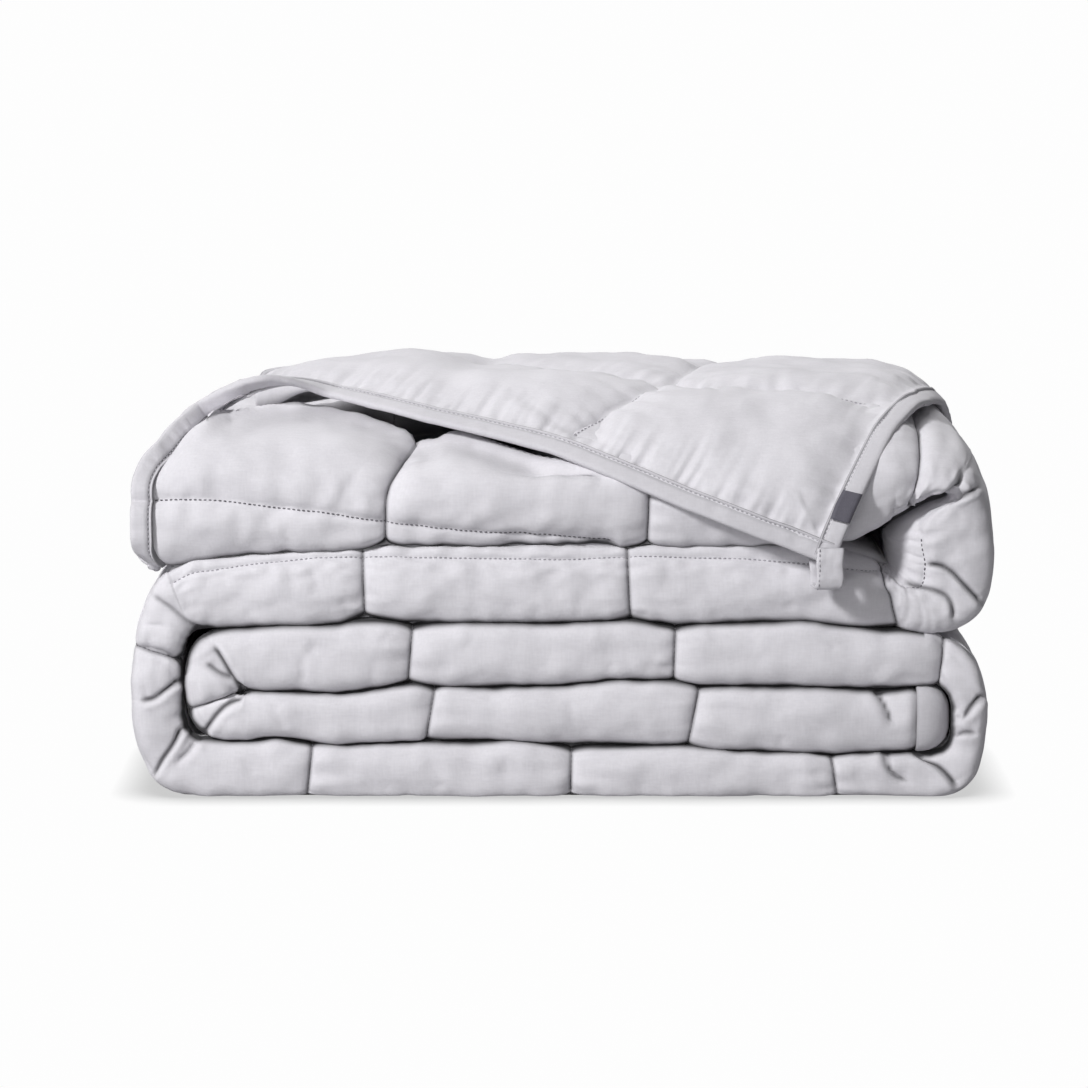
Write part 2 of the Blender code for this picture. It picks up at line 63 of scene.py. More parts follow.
# Runs from the inner end of the blanket to the outer end: start x, end x, line below, line above,
# whether its P face looks up, and its crosswise seams as (x at the top, x at the bottom)
runs = {
    "B": (168, -142, "A/B", "B/C", True, [(63.5, 58.0), (-56.5, -60.5)]),
    "C": (-142, 165, "B/C", "C/D", False, [(-66.5, -68.5), (52.5, 51.5)]),
    "A": (165, -158, "floor", "A/B", True, [(123.5, 126.0), (5.5, 5.0), (-112.0, -114.5)]),
    "D": (-158, 150, "C/D", "D/E", False, [(-89.0, -88.0), (30.5, 32.0), (147.3, 152.3)]),
    "E": (150, -184, "D/E", "top", True, [(41.5, 39.5), (-77.5, -78.5)]),
}

# Turns after each run, for the P face and the Q face: side, reach, where it is furthest, squareness
# before and after; then the crosswise seams by their share of the turn
bends = {
    "B": ((-1, 0.6, 0.5, 2.0, 2.0), (-1, 28.2, 0.45, 3.0, 2.7), (0.42,)),
    "C": ((1, 13.6, 0.5, 3.0, 3.0), (1, 28.6, 0.48, 2.15, 3.2), (0.10,)),
    "A": ((-1, 12.9, 0.5, 3.4, 3.4), (-1, 36.0, 0.5, 3.0, 2.1), (0.58,)),
}

# The loose turn from D to the top run by its ribs: P face x and z, Q face x and z, the share where the
# front's lengthwise seam crosses it, and how deep the Q face's rounding goes back
looseTurn = [
    (158, 74.2, 151, 102.0, 0.03, 34), (166, 74.2, 152, 102.2, 0.09, 42), (174, 75.0, 152.5, 103.0, 0.2, 52),
    (182, 78.6, 152, 104.5, 0.32, 60), (188.6, 84.0, 151.5, 106.0, 0.33, 60), (192.6, 90.5, 151, 108, 0.31, 60),
    (194.8, 99, 150.5, 110, 0.31, 60), (195.4, 108, 150, 112.5, 0.294, 60), (195.2, 117, 150.2, 115.2, 0.277, 56),
    (194.8, 125.5, 151.5, 118.0, 0.25, 46), (194.2, 132, 157, 124.0, 0.12, 36), (193.2, 137.5, 166, 130.3, 0.05, 28),
    (191.8, 141.8, 175.5, 135.2, 0.05, 20), (189.4, 147.5, 174, 137.4, 0.05, 16), (185, 154, 166, 135.2, 0.05, 12),
    (178.8, 161, 161, 133.0, 0.05, 10), (171.5, 166.4, 160, 132.2, 0.05, 10), (164.5, 169.4, 158.8, 131.6, 0.05, 10),
    (157, 170.6, 154.5, 129.3, 0.05, 9),
]
looseSeams = (18,)

# The lengthwise seam near the front fold, by height, where it shows
frontSeam = {
    "hiddenShare": 0.10,
    "D": [(-175, 100.6), (-140, 106.9), (-114, 109.5), (-89, 110.6), (0, 108.7), (30, 110.4), (85, 109.1),
          (147, 103.3)],
    "E": [(-185, 134.7), (-151, 133.4), (-127, 131.6), (-106, 130.2), (-78, 125.3), (-55, 122.6), (0, 118.1),
          (22, 114.5), (150, 108)],
}

body = {
    "step": 1.8, "turnSteps": {"BC": 0.4, "CA": 0.55, "AD": 0.5, "DE": 0.6},      # mm between rings
    "seamSteps": (0.6, 1.3, 2.3, 3.6), "startSteps": (-0.8, 1.0), "leastStep": 0.3,
    "openFrom": 112.0, "openTo": 150.0, "openFall": 11.0, "openRise": 13.0,
    "endFrom": -160.0, "endTo": -184.0, "endTop": 7.0, "endBottom": 2.0,
    "liftPlace": (-158.0, 38.0), "liftSpread": (30.0, 30.0), "liftHeight": 12.0,
    # The end of the top run's front, and the edge behind which it drops under the corner, as seen (z, x) and (x, z)
    "endEdge": [(98, -166), (103, -172), (105.1, -175.5), (106.4, -178.5), (109.6, -183.4), (114.5, -186.8),
                (121, -188.8), (132, -188.8), (141, -186.3), (149, -181.9), (157, -174.8), (166, -167.6),
                (175, -158.8), (182, -148), (185, -139), (188, -128), (192, -112)],
    "dropEdge": [(-165, 178), (-147.4, 177.1), (-130, 178.5), (-120, 178.8), (-110, 177.8), (-103, 175.8),
                 (-88, 169.5), (-73, 164.8), (-65, 163.4), (-58, 165.7), (-44, 162.5), (0, 149.5), (60, 130)],
    "dropDepth": 17.0, "recess": 8.0,
    "plain": (0.0, 0.5, 11.0, 11.0),       # front, middle, upper depth, lower depth
    "domed": (-1.5, 0.26, 81.0, 9.0),
    "draped": (-4.0, 0.1, 79.0),           # the shape that the corner lies on: front, middle, upper depth
    "tightDepth": 7.5, "looseDepth": 28.0,     # lower depth of run D at its left and right ends
    "tiltReach": 42.0,      # how far along a run a leaning seam leans its ribs
    "frontSquare": 2.8, "domedSquare": 2.2, "domedTop": 0.88, "floorDepth": 4.0,
    "behindDrop": 9.0, "behindRamp": 26.0,
    "seamDepth": 2.4, "seamWidth": 1.5, "hollowDepth": 0.9, "hollowWidth": 6.5,
    "lineDepth": 1.5, "lineWidth": 1.8, "lineHollow": 0.7, "lineReach": 8.0,
    "insideShare": 0.25,        # how much of the seams is drawn in on faces that don't show
    "puff": 1.0, "puffTop": 3.6, "puffReach": 8.0, "endFall": 0.9, "endReach": 6.0, "firstFall": -1.7,
    # Painted shade: strength and width along the crosswise seams, strength in the gap under the corner, width along the
    # crease slits
    "seamShade": (0.75, 0.75), "gapShade": 0.95, "paintedSlitWidth": 0.95,
    "capRange": (26.0, 352.0),
    "puckers": 1.25, "wrinkles": 1.0, "smallCreases": (7, 46),
}

# Creases that show, as places in the picture plane (x, z), then depth, and width on the gentle side,
# which is on the left going along, and on the steep side
creases = [
    ([(-183.0, 92.2), (-176.3, 87.5), (-165.2, 78.8), (-156, 75.7)], 2.9, 4.5, 2.6),
    ([(-188.9, 79), (-176.4, 78.4)], 1.6, 5.0, 3.0),
    ([(-192.2, 69.1), (-180.3, 66.9), (-168.5, 61.6)], 2.4, 5.0, 1.6),
    ([(-189.2, 44.3), (-184.3, 45.1), (-178.5, 48.8), (-170.5, 54.5)], 4.0, 7.0, 1.3),
    ([(-184.8, 9.4), (-180.3, 16.6), (-175, 24), (-169.8, 32.5)], 3.8, 7.0, 1.3),
    ([(-173.6, 16.0), (-170, 19), (-164.5, 26.5)], 2.6, 5.0, 1.6),
    ([(-140.8, 48), (-146.1, 52.7), (-152, 62.5), (-155.9, 69.0)], 3.9, 6.0, 1.3),
    ([(-159.3, 61.2), (-154.6, 57.3), (-146.1, 53.3)], 3.2, 4.0, 1.4),
    ([(-162.8, 26), (-159.9, 31), (-152, 40.9), (-142.8, 46.7)], 3.7, 5.0, 1.4),
    ([(182.4, 35.8), (187, 42.4), (192.3, 47.6)], 4.5, 6.0, 1.3),
    ([(179.5, 37.8), (182.4, 35.8)], 2.4, 4.0, 1.5),
    ([(177.8, 28.3), (183.7, 29.5), (189.3, 29.2)], 3.2, 4.5, 1.4),
    ([(160.5, 20.6), (169.9, 15.4), (175.2, 10.8), (180.6, 4.4)], 5.0, 6.0, 1.2),
    ([(147.4, 21.5), (148.8, 14.1), (152.8, 9.4), (158, 6.8)], 3.6, 5.0, 1.4),
    ([(142.5, 50.5), (145.5, 45.5), (147.6, 41), (150.3, 33.1)], 3.6, 5.5, 1.6),
    ([(180.5, 148), (179.6, 144.4), (176.9, 141), (171.5, 137)], 5.0, 5.0, 1.0),
    ([(175.8, 135.7), (183.2, 138.3), (186.6, 140.2), (189, 142.4)], 4.0, 5.0, 1.0),
    ([(165.1, 106), (169.5, 106.2), (173.5, 105.1), (177.4, 102.6), (181.9, 98.1), (187.5, 92.5), (191.1, 88.8)],
     4.2, 6.0, 1.1),
    ([(154, 100), (163.9, 96), (170.7, 93.9), (174.6, 92), (176.8, 89.1), (177.6, 85.2), (177.4, 82)], 3.4, 5.0, 1.1),
    ([(153, 117.9), (158, 117.2), (163, 115.2)], 1.2, 2.5, 1.4),
    ([(154, 112.6), (158, 111), (164.3, 107.8)], 1.5, 2.5, 1.4),
    ([(156, 122), (162, 121)], 1.0, 2.5, 1.4),
    ([(-176, 160), (-144, 163.5), (-129, 168), (-100, 170)], 1.6, 9.0, 5.0),
    ([(-150, 170.5), (-136, 175), (-118, 177.5)], 1.8, 6.0, 3.5),
    ([(97, 150), (94, 138), (98, 128)], 1.6, 6.0, 5.0),
]

corner = {
    "step": 3.2, "nearStep": 1.3, "near": 32.0, "columns": 230,
    "under": 2.0, "over": 11.0, "hemUnder": 3.6, "hemOver": 8.6, "taper": 34.0,
    "hemBlend": 70.0, "swing": 7.0, "binding": 9.5, "clothFrom": 6.0, "hemEase": 0.9,
    "underAtRoll": -5.0, "rollReach": 26.0, "rollWidth": 9.5, "rollMiddle": 3.0, "rollHeight": 8.0,
    "frontHem": [(122, -56), (90, -44), (55, -27.5), (-4, 4), (-60, 26.5), (-88, 41), (-117, 59), (-142, 64)],
    "sideHem": [(122, -56), (136, -20), (151, 20), (170, 62), (185, 148), (202, 228), (222, 331)],
    "creaseEnd": (224, 335),
    "stop": 0.905,
    "seams": [              # on the corner's own cloth, as places along and back
        [(-5, 5), (7, 16.1), (18.3, 27.6), (37, 49.8), (52, 75), (68, 150), (84, 227)],
        [(168, 56), (152, 46), (134.7, 51.8), (114, 60), (88, 63), (65, 64), (52, 75), (10, 100), (-30, 120)],
        [(190, 170), (120, 184), (40, 193)],
        [(206, 262), (150, 278)],
    ],
    "trough": [(-54, 45), (-41.6, 96), (-28, 143)],
    "seamDepth": 3.4, "seamWidth": 4.0, "hollowDepth": 2.2, "hollowWidth": 20.0,
    "puckers": 1.7, "wrinkles": 1.0, "seed": 1.0, "gather": 2.3,
    "bump": ((-75, 105), (35, 40), 6.5),
}

band = {
    "width": 10.0, "thick": 3.8, "step": 1.6,
    "stitchPlace": 0.67, "stitchHeight": 0.72,     # shares of half the width and half the thickness
    "longWidth": 10.6, "longBack": 375.4, "longStep": 3.6, "longCrumple": 0.7, "longShare": 0.17,
    # from the corner over to the left end of the top run: centre x, y, z and the way of the free edge
    "turn": [(-128, 46, 184.8, 0.05, -0.95, 0.25), (-137, 42, 184.4, -0.15, -0.85, 0.5)],
    "under": [(-186.0, 13, 109.6, -0.7, 0.6, -0.3), (-188.4, 24, 110.6, -0.95, 0.3, 0)],
    "ladderX": -189.6,      # then back and forth along the ends of the layers, as (y, z)
    "ladder": [
        (60, 110.8), (200, 110.8), (364, 110.8), (371, 112.8), (374, 117.5),
        (371, 122.2), (364, 124.2), (200, 124.2), (60, 124.2), (34, 124.2), (26.5, 126.2), (23, 131),
        (26.5, 135.8), (34, 137.8), (200, 137.8), (372, 137.8),
    ],
}

loop = {
    "x": 120.5, "width": 12.0, "top": 116.5, "backTop": 110.0, "bottom": 98.0,
    "front": -23.2, "back": -9.0, "thick": 1.8, "lean": 2.4, "stitchPlace": 0.78,
    "flat": (0.012, 0.047),
}

patch = {"start": 21.0, "length": 16.5, "gap": 0.5, "thick": 0.7, "flat": (0.0165, 0.026)}

thread = {"pitch": 2.25, "length": 1.55, "thick": 0.34, "lift": 0.12}

studio = {
    "floorColour": "A4A4A6", "floorRoughness": 0.9, "floorDrop": 0.0005,
    # The floor's glow for the camera, dimmest at the blanket, where it is a painted contact shadow, and full away from
    # it; how far the occlusion reaches and where the shadow starts
    "floorGlow": (0.6, 0.985), "shadeReach": 0.021, "shadeFrom": 0.45,
    "worldColour": "FFFFFF", "worldStrength": 0.11,
    "lights": [     # name, place, target, size, power
        ("keyLight", (-1.3, -1.58, 1.34), (0, 0, 0.1), 0.3, 47.0),
        ("fillLight", (-0.5, -2.4, 0.55), (0, 0, 0.1), 1.3, 10.0),
        ("topLight", (0.2, 1.5, 1.9), (0, 0, 0.1), 1.6, 36.0),
    ],
    "target": (-7.0, 0.0, 115.8), "distance": 2000.0, "elevation": 8.0, "lens": 147.0,
}


def smooth(share):
    share = np.clip(share, 0.0, 1.0)
    return share * share * (3.0 - 2.0 * share)


def mix(a, b, share):
    return a + (b - a) * share


def unit(rows):
    return rows / np.linalg.norm(rows, axis=-1, keepdims=True)


def stepLengths(points):
    return np.linalg.norm(np.diff(points, axis=0), axis=1)


def summed(steps):
    # How far along a line each of its places is, from the lengths of its steps
    return np.concatenate([[0.0], np.cumsum(steps)])


def columnsAt(where, ways, rows):
    # The columns of a table at places between its rows
    return np.stack([np.interp(where, ways, rows[:, k]) for k in range(rows.shape[1])], axis=-1)


def toFrame(points):
    placed = np.array(points, dtype=float)
    placed[:, 2] *= 1.0 - stack["sink"] * np.maximum(placed[:, 1] - stack["sinkFrom"], 0.0)
    return (placed - np.array(stack["middle"])) * 0.001


def field(points, scale, seed=0.0):
    # Smooth noise from -1 to 1 at many places, with its own scale along each axis
    scaled = np.asarray(points, dtype=float) / np.array(scale, dtype=float) + seed
    return np.array([noise.noise(Vector(place)) for place in scaled])


def seenPlace(points):
    # Where the camera sees places, on the plane of the front folds
    angle = math.radians(studio["elevation"])
    eye = np.array(studio["target"]) + studio["distance"] * np.array([0, -math.cos(angle), math.sin(angle)])
    share = (eye[1] / (eye[1] - points[:, 1]))[:, None]
    return (eye + (points - eye) * share)[:, [0, 2]]


def alongLine(points, distance):
    # Places at distances along a line of straight stretches, and its whole length
    line = np.array(points, dtype=float)
    lengths = summed(stepLengths(line))
    return columnsAt(distance, lengths, line), lengths[-1]


def distanceToLine(places, points):
    # Distance from each place to a line of straight stretches, how far along it the nearest point is, and
    # which side of it the place is on (1 left, -1 right)
    places = np.asarray(places, dtype=float)
    best = np.full(len(places), 1e9)
    along = np.zeros(len(places))
    side = np.ones(len(places))
    done = 0.0
    for first, last in zip(points, points[1:]):
        start, way = np.array(first, float), np.array(last, float) - np.array(first, float)
        length = np.linalg.norm(way)
        share = np.clip(((places - start) @ way) / length ** 2, 0.0, 1.0)
        off = places - (start + share[:, None] * way)
        far = np.linalg.norm(off, axis=1)
        nearer = far < best
        best = np.where(nearer, far, best)
        along = np.where(nearer, done + share * length, along)
        side = np.where(nearer, np.sign(way[0] * off[:, 1] - way[1] * off[:, 0]), side)
        done += length
    return best, along, side


lineGrid = np.arange(-220.0, 221.0, 1.0)


def softLine(points):
    # A line's height on the grid, its corners rounded
    xs, zs = zip(*points)
    heights = np.interp(lineGrid, xs, zs)
    reach = int(stack["lineSoftness"] * 3)
    weights = np.exp(-0.5 * (np.arange(-reach, reach + 1) / stack["lineSoftness"]) ** 2)
    return np.convolve(np.pad(heights, reach, mode="edge"), weights / weights.sum(), mode="valid")


lineHeights = {name: softLine(points) for name, points in stack["lines"].items()}
seamHeights = {name: softLine(frontSeam[name]) for name in ("D", "E")}


def runFace(name, x, topSide):
    line = runs[name][3] if topSide else runs[name][2]
    z = float(np.interp(x, lineGrid, lineHeights[line]))
    if line not in ("floor", "top"):
        z += -stack["gap"] / 2 if topSide else stack["gap"] / 2
    opened = max((x - body["openFrom"]) / (body["openTo"] - body["openFrom"]), 0.0) ** 2
    rounded = max((x - body["endFrom"]) / (body["endTo"] - body["endFrom"]), 0.0) ** 2
    if name == "D" and topSide:
        z -= body["openFall"] * opened
    if name == "E" and not topSide:
        z += body["openRise"] * opened + body["endBottom"] * rounded
    if name == "E" and topSide:
        z -= body["endTop"] * rounded
    return z


def runRib(name, x):
    up = runs[name][4]
    return np.array([x, runFace(name, x, up)]), np.array([x, runFace(name, x, not up)])


def turnPoint(turn, x, startZ, endZ, share):
    side, reach, furthest, before, after = turn
    middleZ = mix(startZ, endZ, furthest)
    square = before if share < 0.5 else after
    rise = (startZ if share < 0.5 else endZ) - middleZ
    out = abs(math.sin(math.pi * share)) ** (2.0 / square)
    along = abs(math.cos(math.pi * share)) ** (2.0 / square)
    return np.array([x + side * reach * out, middleZ + rise * along])


def looseTable():
    end, start = runs["D"][1], runs["E"][0]
    before = [np.append(np.concatenate(runRib("D", x)), (0.02, deep))
              for x, deep in ((end - 9.0, 22.0), (end, body["looseDepth"]))]
    after = [np.append(np.concatenate(runRib("E", x)), (0.05, 8.0)) for x in (start, start - 9.0)]
    return np.array(before + [np.array(rib, float) for rib in looseTurn] + after)


def hermite(table, ways, even):
    # Smooth curve through the rows of a table, at places along it
    slopes = np.gradient(table, ways, axis=0)
    index = np.clip(np.searchsorted(ways, even, side="right") - 1, 0, len(ways) - 2)
    span = (ways[index + 1] - ways[index])[:, None]
    t = ((even - ways[index]) / span[:, 0])[:, None]
    h00, h10 = 2 * t ** 3 - 3 * t ** 2 + 1, t ** 3 - 2 * t ** 2 + t
    h01, h11 = -2 * t ** 3 + 3 * t ** 2, t ** 3 - t ** 2
    return (h00 * table[index] + h10 * span * slopes[index] + h01 * table[index + 1]
            + h11 * span * slopes[index + 1])


looseRibs = looseTable()
looseWays = summed(stepLengths((looseRibs[:, :2] + looseRibs[:, 2:4]) / 2) + 0.6 * stepLengths(looseRibs[:, :2]))


def bendRib(name, following, share):
    if name == "D":
        rib = hermite(looseRibs, looseWays, np.array([mix(looseWays[1], looseWays[-2], share)]))[0]
        return rib[:2], rib[2:4]
    x = runs[name][1]
    faces = zip(bends[name], runRib(name, x), runRib(following, runs[following][0]))
    return tuple(turnPoint(turn, x, before[1], after[1], share) for turn, before, after in faces)


def looseExtra(share):
    way = mix(looseWays[1], looseWays[-2], share)
    return [float(np.interp(way, looseWays, looseRibs[:, column])) for column in (4, 5)]


def domeAt(share):
    return float(smooth((share - 0.5) / 0.45))


def seamShareOf(name, upper, lower, k):
    # Where the front's lengthwise seam crosses a rib, from its Q face (0) to its P face (1)
    if name == "DE":
        return looseExtra(turnShares[name](k))[0]
    if name == "AD" and k > 0.5:
        startOfD = seamShareOf("D", *runRib("D", runs["D"][0]), 0)
        return mix(frontSeam["hiddenShare"], startOfD, float(smooth((k - 0.5) / 0.3)))
    if name not in seamHeights:
        return frontSeam["hiddenShare"]
    z = float(np.interp(lower[0], lineGrid, seamHeights[name]))
    return min(max((z - lower[1]) / (upper[1] - lower[1]), 0.02), 0.9)


def seamShares(name):
    if name == "D":
        return [(looseWays[row + 1] - looseWays[1]) / (looseWays[-2] - looseWays[1]) for row in looseSeams]
    return bends[name][2]


turnShares = {}


def makeStretches():
    # The stretches of the way through the blanket: name, kind, length, rib function, seams
    stretches = []
    names = list(runs)
    turnKinds = {"B": "plain", "C": "outerQ", "A": "outerQ", "D": "outerP"}
    for name, following in zip(names, names[1:] + [None]):
        start, end, seams = runs[name][0], runs[name][1], runs[name][5]
        middle = [((top + bottom) / 2 - start) / (end - start) for top, bottom in seams]
        tilts = [top - bottom for top, bottom in seams]
        stretches.append((name, "top" if name == "E" else "plain", abs(end - start),
                          lambda k, n=name, a=start, b=end: runRib(n, mix(a, b, k)), list(zip(middle, tilts))))
        if following:
            # Round a turn the way is measured mostly along its outer face
            shares = np.linspace(0, 1, 241)
            pairs = [bendRib(name, following, s) for s in shares]
            mids = np.array([(u + w) / 2 for u, w in pairs])
            outer = np.array([u if name == "D" else w for u, w in pairs])
            ways = summed(0.35 * stepLengths(mids) + 0.65 * stepLengths(outer))
            turnShares[name + following] = lambda k, w=ways, s=shares: float(np.interp(k * w[-1], w, s))
            stretches.append((name + following, turnKinds[name], ways[-1],
                              lambda k, n=name, f=following: bendRib(n, f, turnShares[n + f](k)),
                              [(float(np.interp(s, shares, ways)) / ways[-1], 0.0) for s in seamShares(name)]))
    return stretches


stretches = makeStretches()
starts = summed([s[2] for s in stretches])
startOf = {stretch[0]: start for stretch, start in zip(stretches, starts)}
kindOf = {stretch[0]: stretch[1] for stretch in stretches}
seamPlaces = [(starts[i] + share * s[2], tilt) for i, s in enumerate(stretches) for share, tilt in s[4]]
wholeLength = starts[-1]
print("way through the blanket", round(wholeLength), "mm, crosswise seams", len(seamPlaces))


def stretchAt(place):
    # The stretch at a place: name, kind, share of the way along it, its rib, and how much it is the top run
    index = min(int(np.searchsorted(starts, place, side="right")) - 1, len(stretches) - 1)
    name, kind, length, ribAt, seams = stretches[index]
    k = (place - starts[index]) / length
    dome = domeAt(turnShares[name](k)) if name == "DE" else float(name == "E")
    return name, kind, k, ribAt(k), dome


def ribPlaces():
    # Places of the rings along the way: even, with more of them at the seams
    marks = {0.0, wholeLength}
    for place, tilt in seamPlaces:
        marks.add(place)
        for step in body["seamSteps"]:
            marks.update((place - step, place + step))
    beside = [start + step for start in starts for step in body["startSteps"]]
    marks.update([place for place in beside if min(abs(place - mark) for mark in marks) > body["leastStep"]])
    marks = sorted(mark for mark in marks if 0.0 <= mark <= wholeLength)
    places = []
    for first, last in zip(marks, marks[1:]):
        index = int(np.searchsorted(starts, (first + last) / 2)) - 1
        step = body["turnSteps"].get(stretches[index][0], body["step"])
        count = max(int(round((last - first) / step)), 1)
        places += list(np.linspace(first, last, count, endpoint=False))
    return places + [wholeLength]


ringKinds = {       # points on the lower arc, upper arc, P face, back and Q face
    "plain": (22, 22, 4, 34, 4),
    "outerQ": (30, 30, 4, 34, 64),
    "outerP": (32, 46, 64, 34, 4),
    "top": (20, 54, 58, 34, 4),
}
# Back of the stack, from the P face to the Q face, as (share of the thickness, y): two sheets with
# bound edges over one fold, where the runs are plain and on the top run
backFold = [(0.38, 377.5), (0.30, 380.5), (0.24, 379.6), (0.18, 380.5), (0.10, 377.5), (0.04, 370), (0.0, 356),
            (0, 338)]
plainBack = [(1, 338), (0.995, 350), (0.975, 360), (0.93, 368), (0.87, 371), (0.81, 368), (0.765, 359), (0.745, 346),
             (0.725, 359), (0.68, 368), (0.62, 371), (0.56, 368), (0.515, 359), (0.495, 344), (0.475, 358),
             (0.44, 370)] + backFold
topBack = [(1, 300), (0.985, 322), (0.95, 338), (0.90, 350), (0.84, 359), (0.78, 365), (0.72, 369), (0.66, 371),
           (0.62, 371.5), (0.59, 371), (0.56, 369), (0.54, 364), (0.52, 355), (0.50, 340), (0.48, 356),
           (0.45, 370)] + backFold
backSeamShare = 0.24        # where the back fold's own seam is
farAway = 1e3               # stands for the distance to a seam that isn't there


def creaseDistance(x, y):
    # How far a place on the top run lies behind the crease
    start, end = np.array(corner["frontHem"][-1], float), np.array(corner["creaseEnd"], float)
    along = (end - start) / np.linalg.norm(end - start)
    return along[0] * (y - start[1]) - along[1] * (x - start[0])


def backOutline(dome, count):
    outline = mix(np.array(plainBack, float), np.array(topBack, float), dome)
    ways = summed(stepLengths(outline * np.array([40.0, 1.0])))     # a run is about 40 mm thick
    return columnsAt(np.linspace(0, ways[-1], count), ways, outline).T


def ringOutline(kind, dome, onFloor=0.0, deep=None):
    # Shares, depths and zones of one ring's points. Zones: 0 lower arc, 1 upper arc, 2 P face,
    # 3 back, 4 Q face
    counts = ringKinds[kind]
    front, middle, upperDepth, lowerDepth = [mix(a, b, dome) for a, b in zip(body["plain"], body["domed"])]
    lowerDepth = mix(lowerDepth, body["floorDepth"], onFloor) if deep is None else deep
    power = 2.0 / mix(body["frontSquare"], body["domedSquare"], dome)
    topPower = mix(power, body["domedTop"], dome)
    low = np.radians(np.linspace(90, 0, counts[0], endpoint=False))
    high = np.radians(np.linspace(0, 90, counts[1], endpoint=False))
    backShare, backY = backOutline(dome, counts[3])
    shares = [middle * (1 - np.sin(low) ** power), mix(middle, 1.0, np.sin(high) ** topPower),
              np.ones(counts[2]), backShare, np.zeros(counts[4])]
    depths = [front + lowerDepth * (1 - np.cos(low) ** power), front + upperDepth * (1 - np.cos(high) ** topPower),
              np.linspace(front + upperDepth, backY[0], counts[2], endpoint=False), backY,
              np.linspace(backY[-1], front + lowerDepth, counts[4] + 1)[1:]]
    marks = [np.linspace(zone, zone + 1, count, endpoint=False) for zone, count in enumerate(counts)]
    return np.concatenate(shares), np.concatenate(depths), np.concatenate(marks)


def stitchRings(firstMarks, lastMarks, firstStart, lastStart):
    # Faces between two rings: quads where they match, else a strip of triangles
    n, m = len(firstMarks), len(lastMarks)
    if n == m:
        return [(firstStart + i, firstStart + (i + 1) % n, lastStart + (i + 1) % n, lastStart + i) for i in range(n)]
    faces = []
    i = j = 0
    while i < n or j < m:
        nextFirst = firstMarks[i + 1] if i + 1 < n else 5.0
        nextLast = lastMarks[j + 1] if j + 1 < m else 5.0
        if j >= m or (i < n and nextFirst <= nextLast):
            faces.append((firstStart + i, firstStart + (i + 1) % n, lastStart + j % m))
            i += 1
        else:
            faces.append((firstStart + i % n, lastStart + (j + 1) % m, lastStart + j))
            j += 1
    return faces


def tubeFaces(count, size, closed=True):
    # Faces between rings that match, and over both ends
    faces = [(r * size + i, r * size + (i + 1) % size, (r + 1) * size + (i + 1) % size, (r + 1) * size + i)
             for r in range(count - 1) for i in range(size)]
    return faces + [tuple(range(size)), tuple((count - 1) * size + i for i in range(size))] * closed


def spanOf(row):
    # Where a ring's points are among all of them
    return slice(row[0], row[0] + len(row[1]))


def makeMesh(name, points, faces):
    mesh = bpy.data.meshes.new(name)
    mesh.from_pydata([tuple(p) for p in points], [], faces)
    mesh.validate()
    mesh.update()
    return mesh


def vertexNormals(points, faces):
    mesh = makeMesh("normals", points, faces)
    normals = np.zeros(len(points) * 3)
    mesh.vertex_normals.foreach_get("vector", normals)
    bpy.data.meshes.remove(mesh)
    return normals.reshape(-1, 3)


def addObject(name, data):
    made = bpy.data.objects.new(name, data)
    bpy.context.scene.collection.objects.link(made)
    return made


def addPiece(name, points, faces, material, grooveAndPaintedShade=None):
    # A finished piece: in the frame, facing outwards and smooth. The groove values are painted shade, which darkens
    # each point's colour in grooves, gaps, seams and creases
    mesh = makeMesh(name, toFrame(points), faces)
    if grooveAndPaintedShade is not None:
        values = np.zeros(len(points), dtype=np.float32)
        values[:len(grooveAndPaintedShade)] = grooveAndPaintedShade
        mesh.attributes.new("grooveAndPaintedShade", "FLOAT", "POINT").data.foreach_set("value", values)
    mesh.materials.append(material)
    corners = np.zeros(len(mesh.vertices) * 3)
    mesh.vertices.foreach_get("co", corners)
    corners = corners.reshape(-1, 3)
    mesh.calc_loop_triangles()
    tris = np.zeros(len(mesh.loop_triangles) * 3, dtype=np.int32)
    mesh.loop_triangles.foreach_get("vertices", tris)
    a, b, c = (corners[tris.reshape(-1, 3)[:, k]] for k in range(3))
    if np.einsum("ij,ij->i", a, np.cross(b, c)).sum() < 0:
        mesh.flip_normals()
    mesh.shade_smooth()
    print(name, len(tris) // 3, "triangles")
    return addObject(name, mesh)


def capRows(ring, rows, depth, grooveAndPaintedShade):
    # Rings that close an end: each nearer the middle line of the last ring, bulging outwards
    middle = ring.copy()
    middle[:, 2] = (ring[:, 2].max() + ring[:, 2].min()) / 2
    middle[:, 1] = np.clip(ring[:, 1], *body["capRange"])
    out = []
    for row in range(1, rows + 1):
        k = row / rows * 0.985
        place = ring + (middle - ring) * k
        place[:, 0] += depth * math.sin(math.pi / 2 * min(k * 1.8, 1.0)) + grooveAndPaintedShade(place)
        out.append(place)
    return out


def hexColour(code):
    # sRGB hex to the linear colour that the nodes take
    channels = [int(code[i:i + 2], 16) / 255 for i in (0, 2, 4)]
    return tuple(c / 12.92 if c <= 0.04045 else ((c + 0.055) / 1.055) ** 2.4 for c in channels) + (1.0,)


def addNode(tree, kind, inputs=None, **settings):
    node = tree.nodes.new(kind)
    for key, value in settings.items():
        setattr(node, key, value)
    for key, value in (inputs or {}).items():
        if isinstance(value, bpy.types.NodeSocket):
            tree.links.new(value, node.inputs[key])
        else:
            node.inputs[key].default_value = value
    return node


